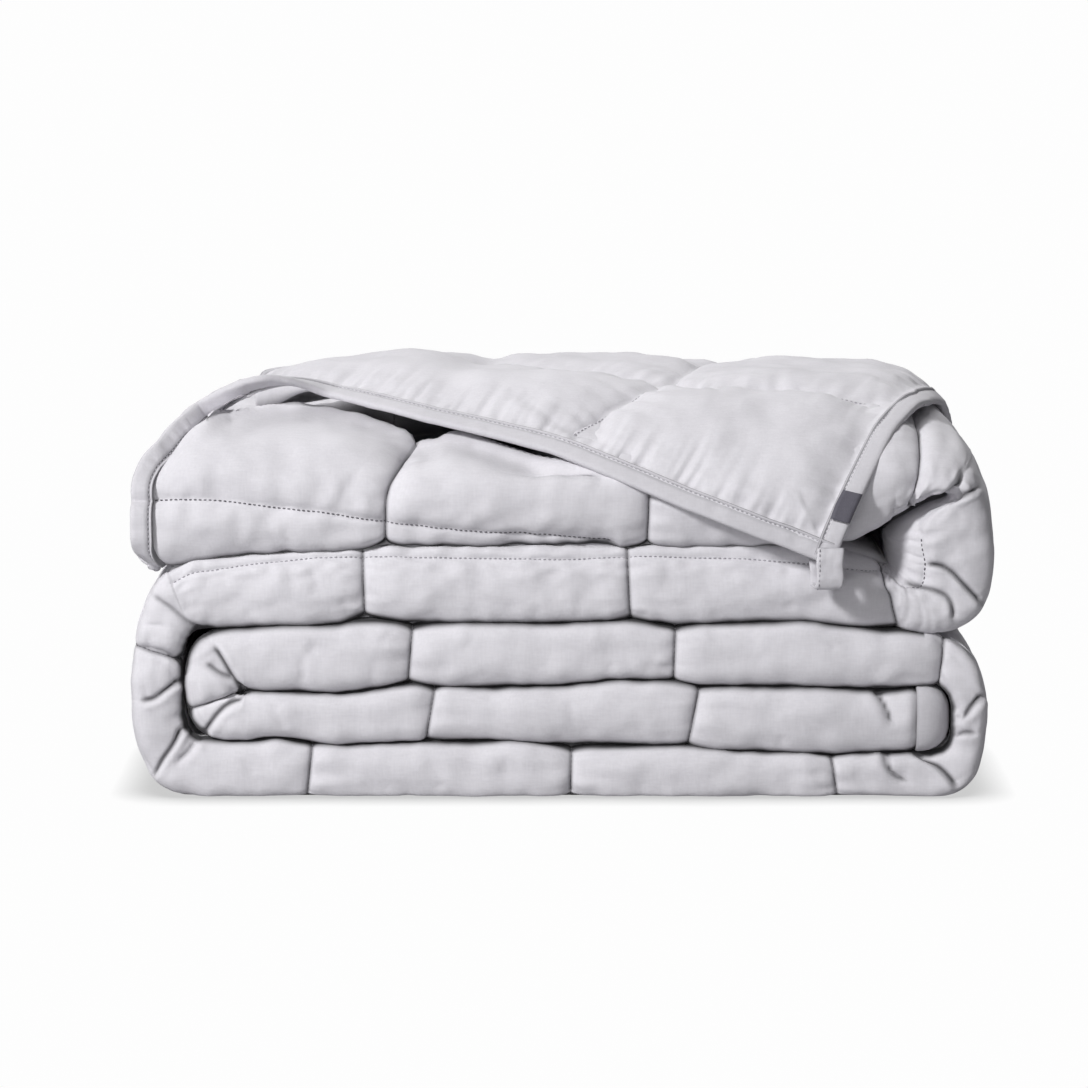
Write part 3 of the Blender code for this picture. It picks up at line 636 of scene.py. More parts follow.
cloth = {
    # pale and deep colours of each cloth and thread
    "quilted": ("DAD8DD", "CDCBD0"), "binding": ("CFCDD2", "C3C1C6"), "patch": ("5E5C66", "56545D"),
    # the quilting thread is grey thread, darkened with painted shade for the seam grooves it lies in
    "quiltThreadWithPaintedShade": ("77757B", "5C5A60"), "hemThread": ("A9A7AD", "9D9BA1"),
    # the colour of the painted shade in grooves, gaps, seams and creases
    "paintedShadeColour": "3A393C",
    "yarn": 0.00042,        # a yarn is 0.3 mm across; a little coarser here, so that it shows
    "slub": 0.0009, "crease": 0.009, "blotch": 0.045,
}


def clothMaterial(name, colours, roughness=0.86, sheen=0.12, weave=0.05, crumple=0.3):
    material = bpy.data.materials.new(name)
    material.use_nodes = True
    tree = material.node_tree
    shader = tree.nodes["Principled BSDF"]
    pale, deep = (hexColour(code) for code in colours)
    where = addNode(tree, "ShaderNodeTexCoord").outputs["Object"]

    def cloudy(size, detail, place=where):
        return addNode(tree, "ShaderNodeTexNoise", {"Vector": place, "Scale": 1 / size, "Detail": detail}).outputs[0]

    def mixed(share, first, last):
        node = addNode(tree, "ShaderNodeMix", {0: share, 6: first, 7: last}, data_type="RGBA")
        return node.outputs[2]

    blend = addNode(tree, "ShaderNodeMath", {0: cloudy(cloth["blotch"], 3.0), 1: 0.5}, operation="MULTIPLY")
    for stretch in ((0.16, 1.0, 1.0), (1.0, 1.0, 0.1)):
        stretched = addNode(tree, "ShaderNodeMapping", {"Vector": where, "Scale": stretch}).outputs[0]
        slubs = cloudy(cloth["slub"], 2.0, stretched)
        blend = addNode(tree, "ShaderNodeMath", {0: slubs, 1: 0.25, 2: blend.outputs[0]}, operation="MULTIPLY_ADD")
    ramp = addNode(tree, "ShaderNodeMapRange", {"Value": blend.outputs[0], "From Min": 0.35, "From Max": 0.65})
    # Painted shade: the groove attribute darkens the colour towards the painted shade colour
    shade = addNode(tree, "ShaderNodeAttribute", attribute_name="grooveAndPaintedShade").outputs["Fac"]
    colour = mixed(shade, mixed(ramp.outputs[0], deep, pale), hexColour(cloth["paintedShadeColour"]))
    tree.links.new(colour, shader.inputs["Base Color"])
    fine = addNode(tree, "ShaderNodeBump", {
        "Height": cloudy(cloth["yarn"], 1.0), "Strength": weave, "Distance": 0.0004})
    soft = addNode(tree, "ShaderNodeBump", {
        "Height": cloudy(cloth["crease"], 3.0), "Strength": crumple, "Distance": 0.0012, "Normal": fine.outputs[0]})
    tree.links.new(soft.outputs[0], shader.inputs["Normal"])
    for socket, value in (("Roughness", roughness), ("Sheen Weight", sheen), ("Sheen Roughness", 0.5),
                          ("Specular IOR Level", 0.25)):
        shader.inputs[socket].default_value = value
    return material


cotton = clothMaterial("greyCotton", cloth["quilted"])
bindingCotton = clothMaterial("bindingCotton", cloth["binding"], crumple=0.45)
wovenPatch = clothMaterial("darkWovenPatch", cloth["patch"], roughness=0.6, sheen=0.2, weave=0.3, crumple=0.1)
sewingThreadWithPaintedShade = clothMaterial("sewingThreadWithPaintedShade", cloth["quiltThreadWithPaintedShade"], roughness=0.7, sheen=0.1, crumple=0.0)
hemThread = clothMaterial("hemThread", cloth["hemThread"], roughness=0.7, sheen=0.1, crumple=0.0)


def makeBodyBase():
    # Rings of the body before it is puffed, with what each point needs to know
    points, faces, info, start = [], [], [], 0
    rows = []               # start of each ring, its marks, its place and its stretch
    for place in ribPlaces():
        name, kind, k, (upper, lower), dome = stretchAt(place)
        deep = looseExtra(turnShares[name](k))[1] if name == "DE" else None
        if name == "AD" and k > 0.5:
            deep = mix(body["plain"][3], body["tightDepth"], smooth(2 * k - 1))
        if name == "D":
            opened = max(lower[0] - body["openFrom"], 0.0) / (runs["D"][1] - body["openFrom"])
            deep = mix(body["tightDepth"], body["looseDepth"], opened)
        onFloor = {"A": 1.0, "CA": smooth((k - 0.7) / 0.3), "AD": smooth((0.3 - k) / 0.3)}.get(name, 0.0)
        shares, depths, marks = ringOutline(kind, dome, onFloor, deep)
        x = lower[0] + (upper[0] - lower[0]) * shares
        z = lower[1] + (upper[1] - lower[1]) * shares
        tilt = sum(t * math.exp(-((place - p) / body["tiltReach"]) ** 2) for p, t in seamPlaces)
        height = shares if kind == "top" or runs[name[0]][4] else 1 - shares
        x = x + tilt * (height - 0.5) * (marks < 2)
        rows.append((start, marks, place, name))
        start += len(marks)
        points.append(np.stack([x, depths, z], axis=1))
        shown = np.ones(len(marks))
        shown[(marks >= 2) & (marks < 3)] = float(kind in ("outerP", "top"))
        shown[marks >= 4] = float(kind == "outerQ")
        closed = 1 - float(smooth((lower[0] - 112.0) / 26.0)) if name in ("D", "E") else 1.0
        info.append({
            "u": place, "mark": marks, "share": shares, "thick": np.linalg.norm(upper - lower), "open": shown,
            "seam": seamShareOf(name, upper, lower, k), "dome": dome,
            # whether a neighbouring run lies against the lower and the upper arc
            "touchLow": 0.0 if kind == "outerQ" or name == "DE" else closed, "touchHigh": float(kind != "outerP")})
    for row, following in zip(rows, rows[1:]):
        faces += stitchRings(row[1], following[1], row[0], following[0])
    columns = {key: np.concatenate([np.broadcast_to(ring[key], len(ring["mark"])) for ring in info]) for key in info[0]}
    return np.concatenate(points), faces, rows, columns


def shapeTop(points, info):
    # The top run is one cloth thinner behind the crease, and lifted at its left end
    x, y, z = points.T
    isTop = info["dome"] > 0.5
    onTop = info["dome"] * (info["share"] > 0.5)
    ramp = smooth(creaseDistance(x, y) / body["behindRamp"]) * smooth((y - 42.0) / 26.0)
    z -= body["behindDrop"] * ramp * onTop
    across = (x - body["liftPlace"][0]) / body["liftSpread"][0]
    back = (y - body["liftPlace"][1]) / body["liftSpread"][1]
    lifted = body["liftHeight"] * np.exp(-across ** 2 - back ** 2)
    z += lifted * isTop * smooth(info["share"] * 4)
    # Behind the edge that shows it drops away under the corner
    seenX, seenZ = seenPlace(points).T
    xs, zs = zip(*body["dropEdge"])
    over = seenZ - np.interp(seenX, xs, zs) + 0.8 * body["puffTop"] * smooth((-45.0 - seenX) / 25.0)
    where = smooth((seenX + 162.0) / 14.0) * smooth((30.0 - seenX) / 50.0) * (1 - smooth((y - 90.0) / 30.0))
    recess = body["recess"] * smooth((over + 17.0) / 17.0) * where * onTop
    y += 0.8 * recess
    z -= 0.6 * recess
    over -= 0.47 * body["recess"]
    z -= body["dropDepth"] * smooth(over / 6.0) * where * onTop
    # gap is the painted shade that darkens the cloth in the gap under the corner's hem
    gap = smooth((over - 0.4) / 3.2) * where * onTop
    info["gap"] = gap * (1 - smooth((y - 110.0) / 20.0)) * smooth((seenX + 137.0) / 8.0)
    # The seam at the left of the top run's front leans to the right towards its top
    high = smooth((z - 128.0) / 40.0)
    x += 17.0 * high * high * np.exp(-((x + 77.0) / 34.0) ** 2) * isTop * (info["mark"] < 2)


def trimEnd(points, info):
    # The end of the top run's front follows the bound edge. Returns how far inside that edge each point is
    isTop = info["dome"] > 0.5
    zs, xs = zip(*body["endEdge"])
    edge = np.interp(seenPlace(points)[:, 1], zs, xs)
    edge = mix(edge, body["endTo"], smooth((points[:, 1] - 60.0) / 40.0))
    inside = points[:, 0] - edge
    kept = np.maximum(inside, 0.0) + 2.0 * np.log1p(np.exp(-np.abs(inside) / 2.0))
    points[:, 0] = np.where(isTop, edge + kept, points[:, 0])
    return np.where(isTop, inside, farAway)


def ringLengths(points, rows):
    # How far round its ring each point is, from the first point
    return np.concatenate([summed(stepLengths(points[spanOf(row)])) for row in rows])


def makeSmallCreases():
    # Short soft creases here and there on the front folds, mostly near where two runs meet
    chance = np.random.default_rng(body["smallCreases"][0])
    lines = []
    while len(lines) < body["smallCreases"][1]:
        name = ("A", "B", "C", "D", "E")[int(chance.integers(5))]
        x = chance.uniform(-150, 150)
        low, high = runFace(name, x, False), runFace(name, x, True)
        if name == "E":
            high = 150.0
        upper = chance.random() < 0.6
        z = high - chance.uniform(1, 7) if upper else low + chance.uniform(1, 6)
        length, lean = chance.uniform(5, 15), chance.uniform(-0.8, 0.8)
        end = (x + length * math.sin(lean), z - length * math.cos(lean) * (1 if upper else -1))
        lines.append(([(x, z), end], chance.uniform(0.5, 1.3), chance.uniform(2.5, 5), chance.uniform(1.4, 2.4)))
    return lines


smallCreases = makeSmallCreases()


def valley(distance, depth, width):
    # How far the cloth is drawn in beside a seam
    return depth * np.exp(-distance / width)


def ripples(distance, along, side, reach, wave, seed):
    # Puckers that run away from a seam
    places = np.stack([along / wave, side * 3.7 + distance / (wave * 6), np.full(len(along), seed)], axis=1)
    return field(places, (1, 1, 1)) * np.exp(-distance / reach) * (1 - np.exp(-distance / 1.5))


def puffBody(points, faces, rows, info):
    # Puffs the body out between its seams and draws its creases in. Leaves in info the painted shade that
    # darkens each point's colour in grooves, gaps, seams and creases
    mark, share, dome, shown = (info[key] for key in ("mark", "share", "dome", "open"))
    onFront, onBack = mark < 2, (mark >= 3) & (mark < 4)
    normals = vertexNormals(points, faces)
    if normals[(mark > 0.9) & (mark < 1.1)][:, 1].mean() > 0:
        normals = -normals
    around = ringLengths(points, rows)
    y = points[:, 1]
    # Distance to the crosswise seams
    seams = np.array([p for p, t in seamPlaces])
    nearest = np.abs(info["u"][:, None] - seams[None, :])
    which = nearest.argmin(axis=1)
    cross = nearest[np.arange(len(which)), which]
    crossSide = np.sign(info["u"] - seams[which])
    # Distance to the lengthwise seams: at the front, where it shows, at the back fold and across the faces
    front, back, lined = np.full(len(points), farAway), np.full(len(points), farAway), np.ones(len(points))
    info["line"] = np.zeros(len(points))
    spots = []
    for row in rows:
        start, marks, place, name = row
        span = spanOf(row)
        shares, ways, ahead = share[span], around[span], marks < 2
        lobe = (marks >= 3.5) & (marks < 4)
        spots.append((np.interp(info["seam"][start], shares[ahead], ways[ahead]),
                      np.interp(-backSeamShare, -shares[lobe], ways[lobe])))
        front[span] = np.where(ahead | (marks > 4.5), np.abs(ways - spots[-1][0]), farAway)
        back[span] = np.where((marks >= 3) & (marks < 4), np.abs(ways - spots[-1][1]), farAway)
        strength = {"AD": smooth((place - startOf["D"] + 22.0) / 8.0), "D": 1.0, "DE": 1.0,
                    "E": smooth((30.0 - points[start, 0]) / 9.0)}.get(name, 0.0)
        lined[span] = np.where(ahead, strength, 1.0)
        info["line"][span] = strength * (name in ("AD", "D"))
    flat = np.minimum(*(np.abs(y - place) for place in stack["flatSeams"]))
    flat = np.where(((mark >= 2) & (mark < 3)) | (mark >= 4), flat, farAway)
    line = np.minimum(np.minimum(front, back), flat)
    # On faces that lie against another run only the seams are drawn in
    size = shown + body["insideShare"] * (1 - shown)
    push = -valley(cross, body["seamDepth"], body["seamWidth"]) * size
    push -= body["hollowDepth"] * np.exp(-(cross / body["hollowWidth"]) ** 2) * size
    push -= valley(line, body["lineDepth"], body["lineWidth"]) * (0.35 + 0.65 * shown) * lined
    push -= body["lineHollow"] * np.exp(-(line / body["lineReach"]) ** 2) * shown * lined
    near = np.minimum(cross, np.where(lined > 0.5, line, farAway))
    crown = mix(body["puff"], body["puffTop"], dome * smooth((share - 0.08) / 0.4))
    atEnd = 1 - body["endFall"] * np.exp(-np.maximum(info["inside"], 0.0) / body["endReach"])
    push += crown * (1 - np.exp(-near / body["puffReach"])) * atEnd * shown
    along = np.where(onFront | onBack, around, y)
    side = np.sign(y - stack["flatSeams"][0]) + share * 2
    puckers = body["puckers"] * 1.5
    push += puckers * ripples(cross, along, crossSide + which * 1.3, reach=11.0, wave=5.2, seed=4.1) * shown
    push += puckers * ripples(line, info["u"], side, reach=12.0, wave=7.0, seed=9.7) * shown * lined
    # Upright folds where one run presses on the next
    edge = np.minimum(share, 1 - share) * info["thick"]
    pressed = np.exp(-edge / 6.0) * onFront * shown
    folds = field(np.stack([info["u"], share * 9, y * 0], axis=1), scale=(7.5, 9, 1), seed=13.0)
    push += body["puckers"] * 0.7 * pressed * folds
    calm = np.where(onFront | (dome > 0.5), 1.0, 0.35)
    for strength, scale, seed in ((1.5, (26, 34, 15), 3.0), (0.8, (11, 20, 9), 8.0)):
        push += body["wrinkles"] * strength * field(points, scale, seed) * shown * calm
    facing = 0.15 * normals[:, 2] - normals[:, 1]
    push = mix(body["firstFall"], push, smooth((info["u"] - 4.5) / 5.0))
    push *= np.where(onFront & (dome < 0.5), 0.45 + 0.55 * np.clip(facing, 0, 1), 1.0)
    visible = (mark < 3) & (y < 130) & (facing > 0.1)
    drawn, paintedSlitShade = creasePush(seenPlace(points[visible]))
    drawn, paintedSlitShade = (values * smooth((facing[visible] - 0.1) / 0.3) for values in (drawn, paintedSlitShade))
    push[visible] += drawn
    # Painted shade, darkening the colour in the grooves between the runs, in the gap under the corner, in the seams and
    # in the creases
    touching = np.where(mark < 1, info["touchLow"], info["touchHigh"]) * onFront
    late = np.where((mark < 1) & (info["line"] > 0.5), 4.0, 0.0)
    grooveAndPaintedShade = touching * smooth((y - 2.2 - late) / 3.6) * (1 - dome * (mark >= 1))
    grooveAndPaintedShade = np.maximum(grooveAndPaintedShade, body["gapShade"] * info["gap"])
    shade, width = body["seamShade"]
    seamPaintedShade = shade * np.exp(-(cross / width) ** 2) * onFront * (1 - smooth((y - 25.0) / 20.0))
    info["grooveAndPaintedShade"] = np.maximum(grooveAndPaintedShade, seamPaintedShade)
    info["grooveAndPaintedShade"][visible] = np.maximum(info["grooveAndPaintedShade"][visible], paintedSlitShade)
    points += normals * push[:, None]
    points[:, 2] = np.maximum(points[:, 2], 0.0)
    return normals, around, spots


def creasePush(places):
    # How far the creases that show draw the cloth in, with the slight rise beside them, and the painted shade of their
    # dark slits
    push, paintedSlitShade = np.zeros(len(places)), np.zeros(len(places))
    for line, depth, gentle, steep in creases + smallCreases:
        corners = np.array(line, float)
        near = ((places > corners.min(axis=0) - 16.0) & (places < corners.max(axis=0) + 16.0)).all(axis=1)
        if len(line) > 2:
            ways = summed(stepLengths(corners))
            line = hermite(corners, ways, np.linspace(0, ways[-1], 4 * len(corners)))
        far, way, side = distanceToLine(places[near], line)
        total = alongLine(line, 0)[1]
        ends = smooth(way / 4.0 + 0.25) * smooth((total - way) / 4.0 + 0.25)
        slope = np.where(side > 0, np.exp(-far / gentle), np.exp(-(far / steep) ** 1.3))
        push[near] -= 0.8 * depth * ends * (0.7 * slope + 0.3 * np.exp(-(far / 1.2) ** 2))
        push[near] += 0.12 * depth * np.exp(-((far - 2.4 * steep) / (1.5 * steep)) ** 2) * ends * (side < 0)
        # Painted shade along the crease's line, darker for deeper creases
        dark = min(max(depth - 1.6, 0.0) / 2.4, 0.9)
        paintedSlitShade[near] = np.maximum(paintedSlitShade[near], dark * np.exp(-(far / body["paintedSlitWidth"]) ** 2) * ends)
    return push, paintedSlitShade


def closeEnd(points, faces, row, rings):
    # Adds the rings that close one end of the body
    last, size = row[0], len(row[1])
    for ring in rings:
        count = len(points)
        faces += [(last + i, last + (i + 1) % size, count + (i + 1) % size, count + i) for i in range(size)]
        points = np.concatenate([points, ring])
        last = count
    faces.append(tuple(range(last, last + size)))
    return points


def topEndGroove(place):
    # The top run's end shows its sheets, drawn in between their bound edges
    z = place[:, 2]
    between = sum(np.exp(-((z - height) / 2.6) ** 2) for height in (117.5, 131.0, 144.5))
    return 5.0 * between


basePoints, bodyFaces, bodyRows, bodyInfo = makeBodyBase()
shapeTop(basePoints, bodyInfo)
bodyInfo["inside"] = trimEnd(basePoints, bodyInfo)
bodyPoints = basePoints.copy()
bodyNormals, bodyAround, seamSpots = puffBody(bodyPoints, bodyFaces, bodyRows, bodyInfo)
ringedPoints = bodyPoints.copy()
for row, rings, depth, grooveAndPaintedShade in ((bodyRows[-1], 9, -3.0, topEndGroove), (bodyRows[0], 4, 2.0, lambda place: 0.0)):
    bodyPoints = closeEnd(bodyPoints, bodyFaces, row, capRows(ringedPoints[spanOf(row)], rings, depth, grooveAndPaintedShade))
quiltedBody = addPiece("quiltedBody", bodyPoints, bodyFaces, cotton, bodyInfo["grooveAndPaintedShade"])
print("body done")


def makeTopTable():
    # The top run's faces by the distance along it, going on round the right turn: the distance, then
    # columns for the upper and the lower place, the way outwards and how much it is the top run
    shares = np.linspace(1.0, 0.5, 81)
    pairs = [bendRib("D", "E", share) for share in shares]
    ways = summed(stepLengths(np.array([upper for upper, lower in pairs])))
    rows = []
    for x in np.arange(-200.0, runs["E"][0], 1.0):
        upper, lower = runRib("E", max(x, body["endTo"]))
        rows.append((x, x, upper[1], x, lower[1], 1.0))
    for share, way, (upper, lower) in zip(shares, ways, pairs):
        rows.append((runs["E"][0] + way, *upper, *lower, domeAt(share)))
    distance, table = np.split(np.array(rows), [1], axis=1)
    distance = distance[:, 0]
    slope = unit(np.gradient(table[:, :2], distance, axis=0))
    return distance, np.column_stack([table[:, :4], -slope[:, 1], slope[:, 0], table[:, 4]])


topDistance, topTable = makeTopTable()


def drape(s, v, off):
    # Places at s and v, off the top run's upper face
    s, v, off = (np.atleast_1d(np.asarray(a, dtype=float)) for a in (s, v, off))
    upper, lower, out, dome = np.split(columnsAt(s, topDistance, topTable), [2, 4, 6], axis=1)
    out = unit(out)
    front, middle, depth = [mix(a, b, dome[:, 0]) for a, b in zip(body["plain"], body["draped"])]
    back = front + depth
    off = off + corner["swing"] * np.where(v < 0, (v / corner["frontHem"][0][1]) ** 2, 0.0)
    drop = (upper - lower) * (1.0 - middle)[:, None]
    fall = np.linalg.norm(drop, axis=1)
    wide, tall = depth + corner["hemOver"], fall + corner["hemOver"]
    quarter = math.pi / 2 * np.sqrt((wide ** 2 + tall ** 2) / 2)
    angle = np.clip((back - v) / quarter, 0.0, 1.0) * math.pi / 2
    hang = np.maximum(back - v - quarter, 0.0)
    place = upper - drop * (1 - np.cos(angle))[:, None] + out * (off * np.cos(angle))[:, None]
    place -= drop / fall[:, None] * hang[:, None]
    y = np.where(v >= back, v, back - (depth + off) * np.sin(angle))
    points = np.stack([place[:, 0], y, place[:, 1]], axis=1)
    (x0, y0), (wideX, wideY), height = corner["bump"]
    points[:, 2] += height * np.exp(-((points[:, 0] - x0) / wideX) ** 2 - ((points[:, 1] - y0) / wideY) ** 2)
    return points


frontLength = alongLine(corner["frontHem"], 0)[1]
sideLength = alongLine(corner["sideHem"], 0)[1]


def cornerPlace(a, b):
    # Places on the corner's cloth: a from the side hem to the crease, b from the front hem back
    a, b = np.broadcast_arrays(np.asarray(a, float), np.asarray(b, float))
    side = alongLine(corner["sideHem"], b * sideLength)[0]
    hemEnd, creaseEnd = np.array(corner["frontHem"][-1], float), np.array(corner["creaseEnd"], float)
    hemStart = np.array(corner["frontHem"][0], float)
    crease = mix(hemEnd, creaseEnd, b[..., None])
    hem = alongLine(corner["frontHem"], np.clip(a, 0, None) * frontLength)[0]
    bow = hem - mix(hemStart, hemEnd, a[..., None])
    ruled = mix(side, crease, a[..., None]) + bow * ((1 - b) ** 2)[..., None]
    ahead = alongLine(corner["frontHem"], np.minimum(a + 0.05, 1.0) * frontLength)[0]
    behind = alongLine(corner["frontHem"], np.clip(a - 0.05, 0, 1) * frontLength)[0]
    way = ahead - behind
    inward = unit(np.stack([way[..., 1], -way[..., 0]], axis=-1))
    distance = b * sideLength
    square = hem + inward * distance[..., None]
    blend = smooth((distance - corner["binding"]) / corner["hemBlend"])[..., None]
    return mix(square, ruled, blend)


def cornerWidth(b):
    across = cornerPlace(np.zeros_like(b), b) - cornerPlace(np.ones_like(b), b)
    return np.maximum(np.linalg.norm(across, axis=-1), 1.0)


def cornerPoints(a, b, off):
    place = cornerPlace(a, b)
    return drape(place[..., 0].ravel(), place[..., 1].ravel(), np.broadcast_to(off, np.shape(place)[:-1]).ravel())


def cornerPush(s, v):
    # Seams, puckers and folds of the corner's cloth
    places = np.stack([s, v], axis=1)
    push = np.zeros(len(s))
    nearest = np.full(len(s), farAway)
    for index, seam in enumerate(corner["seams"]):
        far, way, side = distanceToLine(places, seam)
        push -= valley(far, corner["seamDepth"], corner["seamWidth"])
        push -= corner["hollowDepth"] * np.exp(-(far / corner["hollowWidth"]) ** 2)
        seed = corner["seed"] + index * 5.3
        push += corner["puckers"] * 1.5 * ripples(far, way, side, reach=14.0, wave=6.0, seed=seed)
        nearest = np.minimum(nearest, far)
    far = distanceToLine(places, corner["trough"])[0]
    push -= 2.0 * np.exp(-(far / 9.0) ** 2)
    flatPlaces = np.stack([s, v, np.full(len(s), corner["seed"])], axis=1)
    for strength, scale, seed in ((1.8, (34, 24, 1), 2.0), (1.0, (13, 11, 1), 6.0)):
        push += corner["wrinkles"] * strength * field(flatPlaces, scale, seed)
    push += 2.0 * (1 - np.exp(-nearest / 22.0))
    return push


def hemPuckers(fromSide, fromFront, inFromHem):
    # Short dips in the cloth where the hems' stitching gathers it
    onFront = fromFront <= fromSide
    along = np.where(onFront, fromSide, fromFront + 500.0)
    places = np.stack([along, inFromHem, onFront * 9.0], axis=1)
    fine = field(places, scale=(3.4, 26.0, 1.0), seed=4.4)
    broad = field(places, scale=(10.0, 40.0, 1.0), seed=7.7)
    length = mix(6.0, 16.0, np.clip(0.5 + broad, 0, 1))
    reach = np.exp(-np.maximum(inFromHem - 5.0, 0.0) / length) * smooth((inFromHem - 3.0) / 3.0)
    return -corner["gather"] * np.clip(0.35 + 1.1 * fine + 0.5 * broad, 0, 1.2) * reach


def makeCorner():
    # The turned-back corner: rings across its cloth, each over its upper side, round the crease and back
    stop = corner["stop"] * sideLength
    bs = np.concatenate([np.arange(corner["clothFrom"], corner["near"], corner["nearStep"]),
                         np.arange(corner["near"], stop, corner["step"]), [stop]]) / sideLength
    roll = np.radians(np.linspace(84, -84, 15))
    points, ringSize = [], 2 * corner["columns"] + len(roll)
    for b in bs:
        width = float(cornerWidth(np.array([b]))[0])
        first = min(corner["clothFrom"] / width, 0.5)
        a = np.linspace(first, 1.0, corner["columns"])
        inFromHem = np.minimum((a - first) * width, (b - bs[0]) * sideLength)
        full = smooth(inFromHem / corner["taper"])
        over = mix(corner["hemOver"] - corner["hemEase"], corner["over"], full)
        under = mix(corner["hemUnder"] + corner["hemEase"], corner["under"], full)
        under = mix(under, corner["underAtRoll"], smooth(1 - (1 - a) * width / corner["rollReach"]))
        place = cornerPlace(a, np.full_like(a, b))
        push = cornerPush(place[:, 0], place[:, 1]) * smooth((inFromHem - 3.5) / 11.0)
        pushUnder = push * 0.35
        push = push + hemPuckers(a * width, b * sideLength, inFromHem)
        rollOff = corner["rollMiddle"] + corner["rollHeight"] * np.sin(roll) + push[-1] * np.maximum(np.sin(roll), 0)
        around = np.concatenate([a, 1.0 + corner["rollWidth"] * np.cos(roll) / width, a[::-1]])
        off = np.concatenate([over + push, rollOff, (under - pushUnder)[::-1]])
        points.append(cornerPoints(around, np.full_like(around, b), off))
    faces = tubeFaces(len(points), ringSize, False)
    last = (len(points) - 1) * ringSize
    for i in range(ringSize // 2 - 1):
        quad = (i, ringSize - 1 - i, ringSize - 2 - i, i + 1)
        faces += [quad, tuple(last + k for k in reversed(quad))]
    i = ringSize // 2 - 1
    faces += [(i, i + 2, i + 1), (last + i + 1, last + i + 2, last + i)]
    return np.concatenate(points), faces


cornerMesh, cornerFaces = makeCorner()
turnedCorner = addPiece("turnedCorner", cornerMesh, cornerFaces, cotton)
print("corner done")


# A binding's outline: place across it from the inner edge (-1) to the free edge (1), and height
bandOutline = [
    (-1.0, 0.0), (-1.0, 0.8), (-0.96, 1.12), (-0.86, 1.16), (-0.76, 0.98), (-0.69, 0.6), (-0.62, 0.62),
    (-0.52, 0.9), (-0.2, 1.0), (0.15, 1.0), (0.5, 0.97), (0.8, 0.9), (0.95, 0.6), (1.0, 0.0),
]
bandOutline += [(across, -height) for across, height in bandOutline[-2:0:-1]]
# How much painted shade darkens it along its stitched groove and inner edge, by the place across it
bandPaintedShade = ((-1.0, -0.96, -0.9, -0.78, -0.69, -0.62, -0.5), (0.7, 0.5, 0.0, 0.0, 0.75, 0.75, 0.0))
stitchLines = []        # each is (rows of a place and the way outwards there, group)


def addStitchLine(rows, group):
    stitchLines.append((np.array(rows), group))


def resample(table, step):
    # Even places along a path whose first three columns are x, y and z, by a smooth curve
    table = np.asarray(table, dtype=float)
    ways = summed(stepLengths(table[:, :3]))
    keep = np.concatenate([[True], np.diff(ways) > 1e-6])
    table, ways = table[keep], ways[keep]
    return hermite(table, ways, np.linspace(0, ways[-1], max(int(ways[-1] / step), 2) + 1))


def addBand(name, rows, width, thick, seed, crumple=1.0):
    # A folded strip with its stitch lines, slightly crumpled. rows are its centres and the ways to its free edge
    centres, freeEdges = rows[:, :3], rows[:, 3:6]
    along = unit(np.gradient(centres, axis=0))
    freeEdges = unit(freeEdges - along * np.einsum("ij,ij->i", along, freeEdges)[:, None])
    outside = np.cross(along, freeEdges)
    count = len(centres)
    ways = summed(stepLengths(centres))
    widths, thicks, crumples = (np.broadcast_to(value, count) for value in (width / 2, thick / 2, crumple))
    across, heights = np.array(bandOutline).T
    points = []
    for i in range(count):
        wobble, ripple, fold = (noise.noise(Vector((ways[i] / scale, seed, place)))
                                for scale, place in ((11.0, 0.0), (5.5, 5.0), (2.9, 9.0)))
        taper = min(1.0, 0.35 + min(i, count - 1 - i) * 0.35)
        shares = across * widths[i] * (1 + 0.03 * wobble * (across > 0))
        puffed = 1 + 0.22 * ripple * (1 - np.abs(across)) * crumples[i]
        puffed += 0.3 * (fold * (crumples[i] - 1)) * (1 - 0.5 * np.abs(across))
        lifts = heights * thicks[i] * taper * puffed + 0.35 * wobble * crumples[i] * across
        points.append(centres[i] + freeEdges[i] * shares[:, None] + outside[i] * lifts[:, None])
    for side in (1, -1):
        lane = centres - freeEdges * band["stitchPlace"] * widths[:, None]
        lane += outside * side * band["stitchHeight"] * thicks[:, None]
        addStitchLine(np.concatenate([lane, outside * side], axis=1), "hem")
    # Painted shade across the strip, in its stitched groove and along its inner edge
    paintedShades = np.tile(np.interp(across, *bandPaintedShade), count)
    return addPiece(name, np.concatenate(points), tubeFaces(count, len(across)), bindingCotton, paintedShades)


def endRows():
    # The strip along the end of the top run's front, on the edge of the cloth that it binds
    marks = bodyRows[-1][1]
    ring = ringedPoints[spanOf(bodyRows[-1])]
    ring = ring[(marks > 0.2) & (marks < 3) & (ring[:, 1] < 46) & (seenPlace(ring)[:, 0] < -140)][::-1]
    lengths = summed(stepLengths(ring))
    edge = columnsAt(np.linspace(0, lengths[-1], 22), lengths, ring)
    rows = []
    for place, way in zip(edge, np.gradient(edge, axis=0)):
        out = np.array([way[2], 0.0, -way[0]])
        out *= -1 if out[0] > 0 else 1
        back = 2.4 * smooth((117.0 - place[2]) / 11.0) - 0.012 * max(place[2] - 148.0, 0.0)
        out = unit(unit(out) + np.array([0.0, back, 0.0]))
        centre = place + out * (band["width"] / 2 - 0.8) + np.array([0.0, -0.8, 0.0])
        rows.append(np.concatenate([centre, out * corner["binding"]]))
    return rows


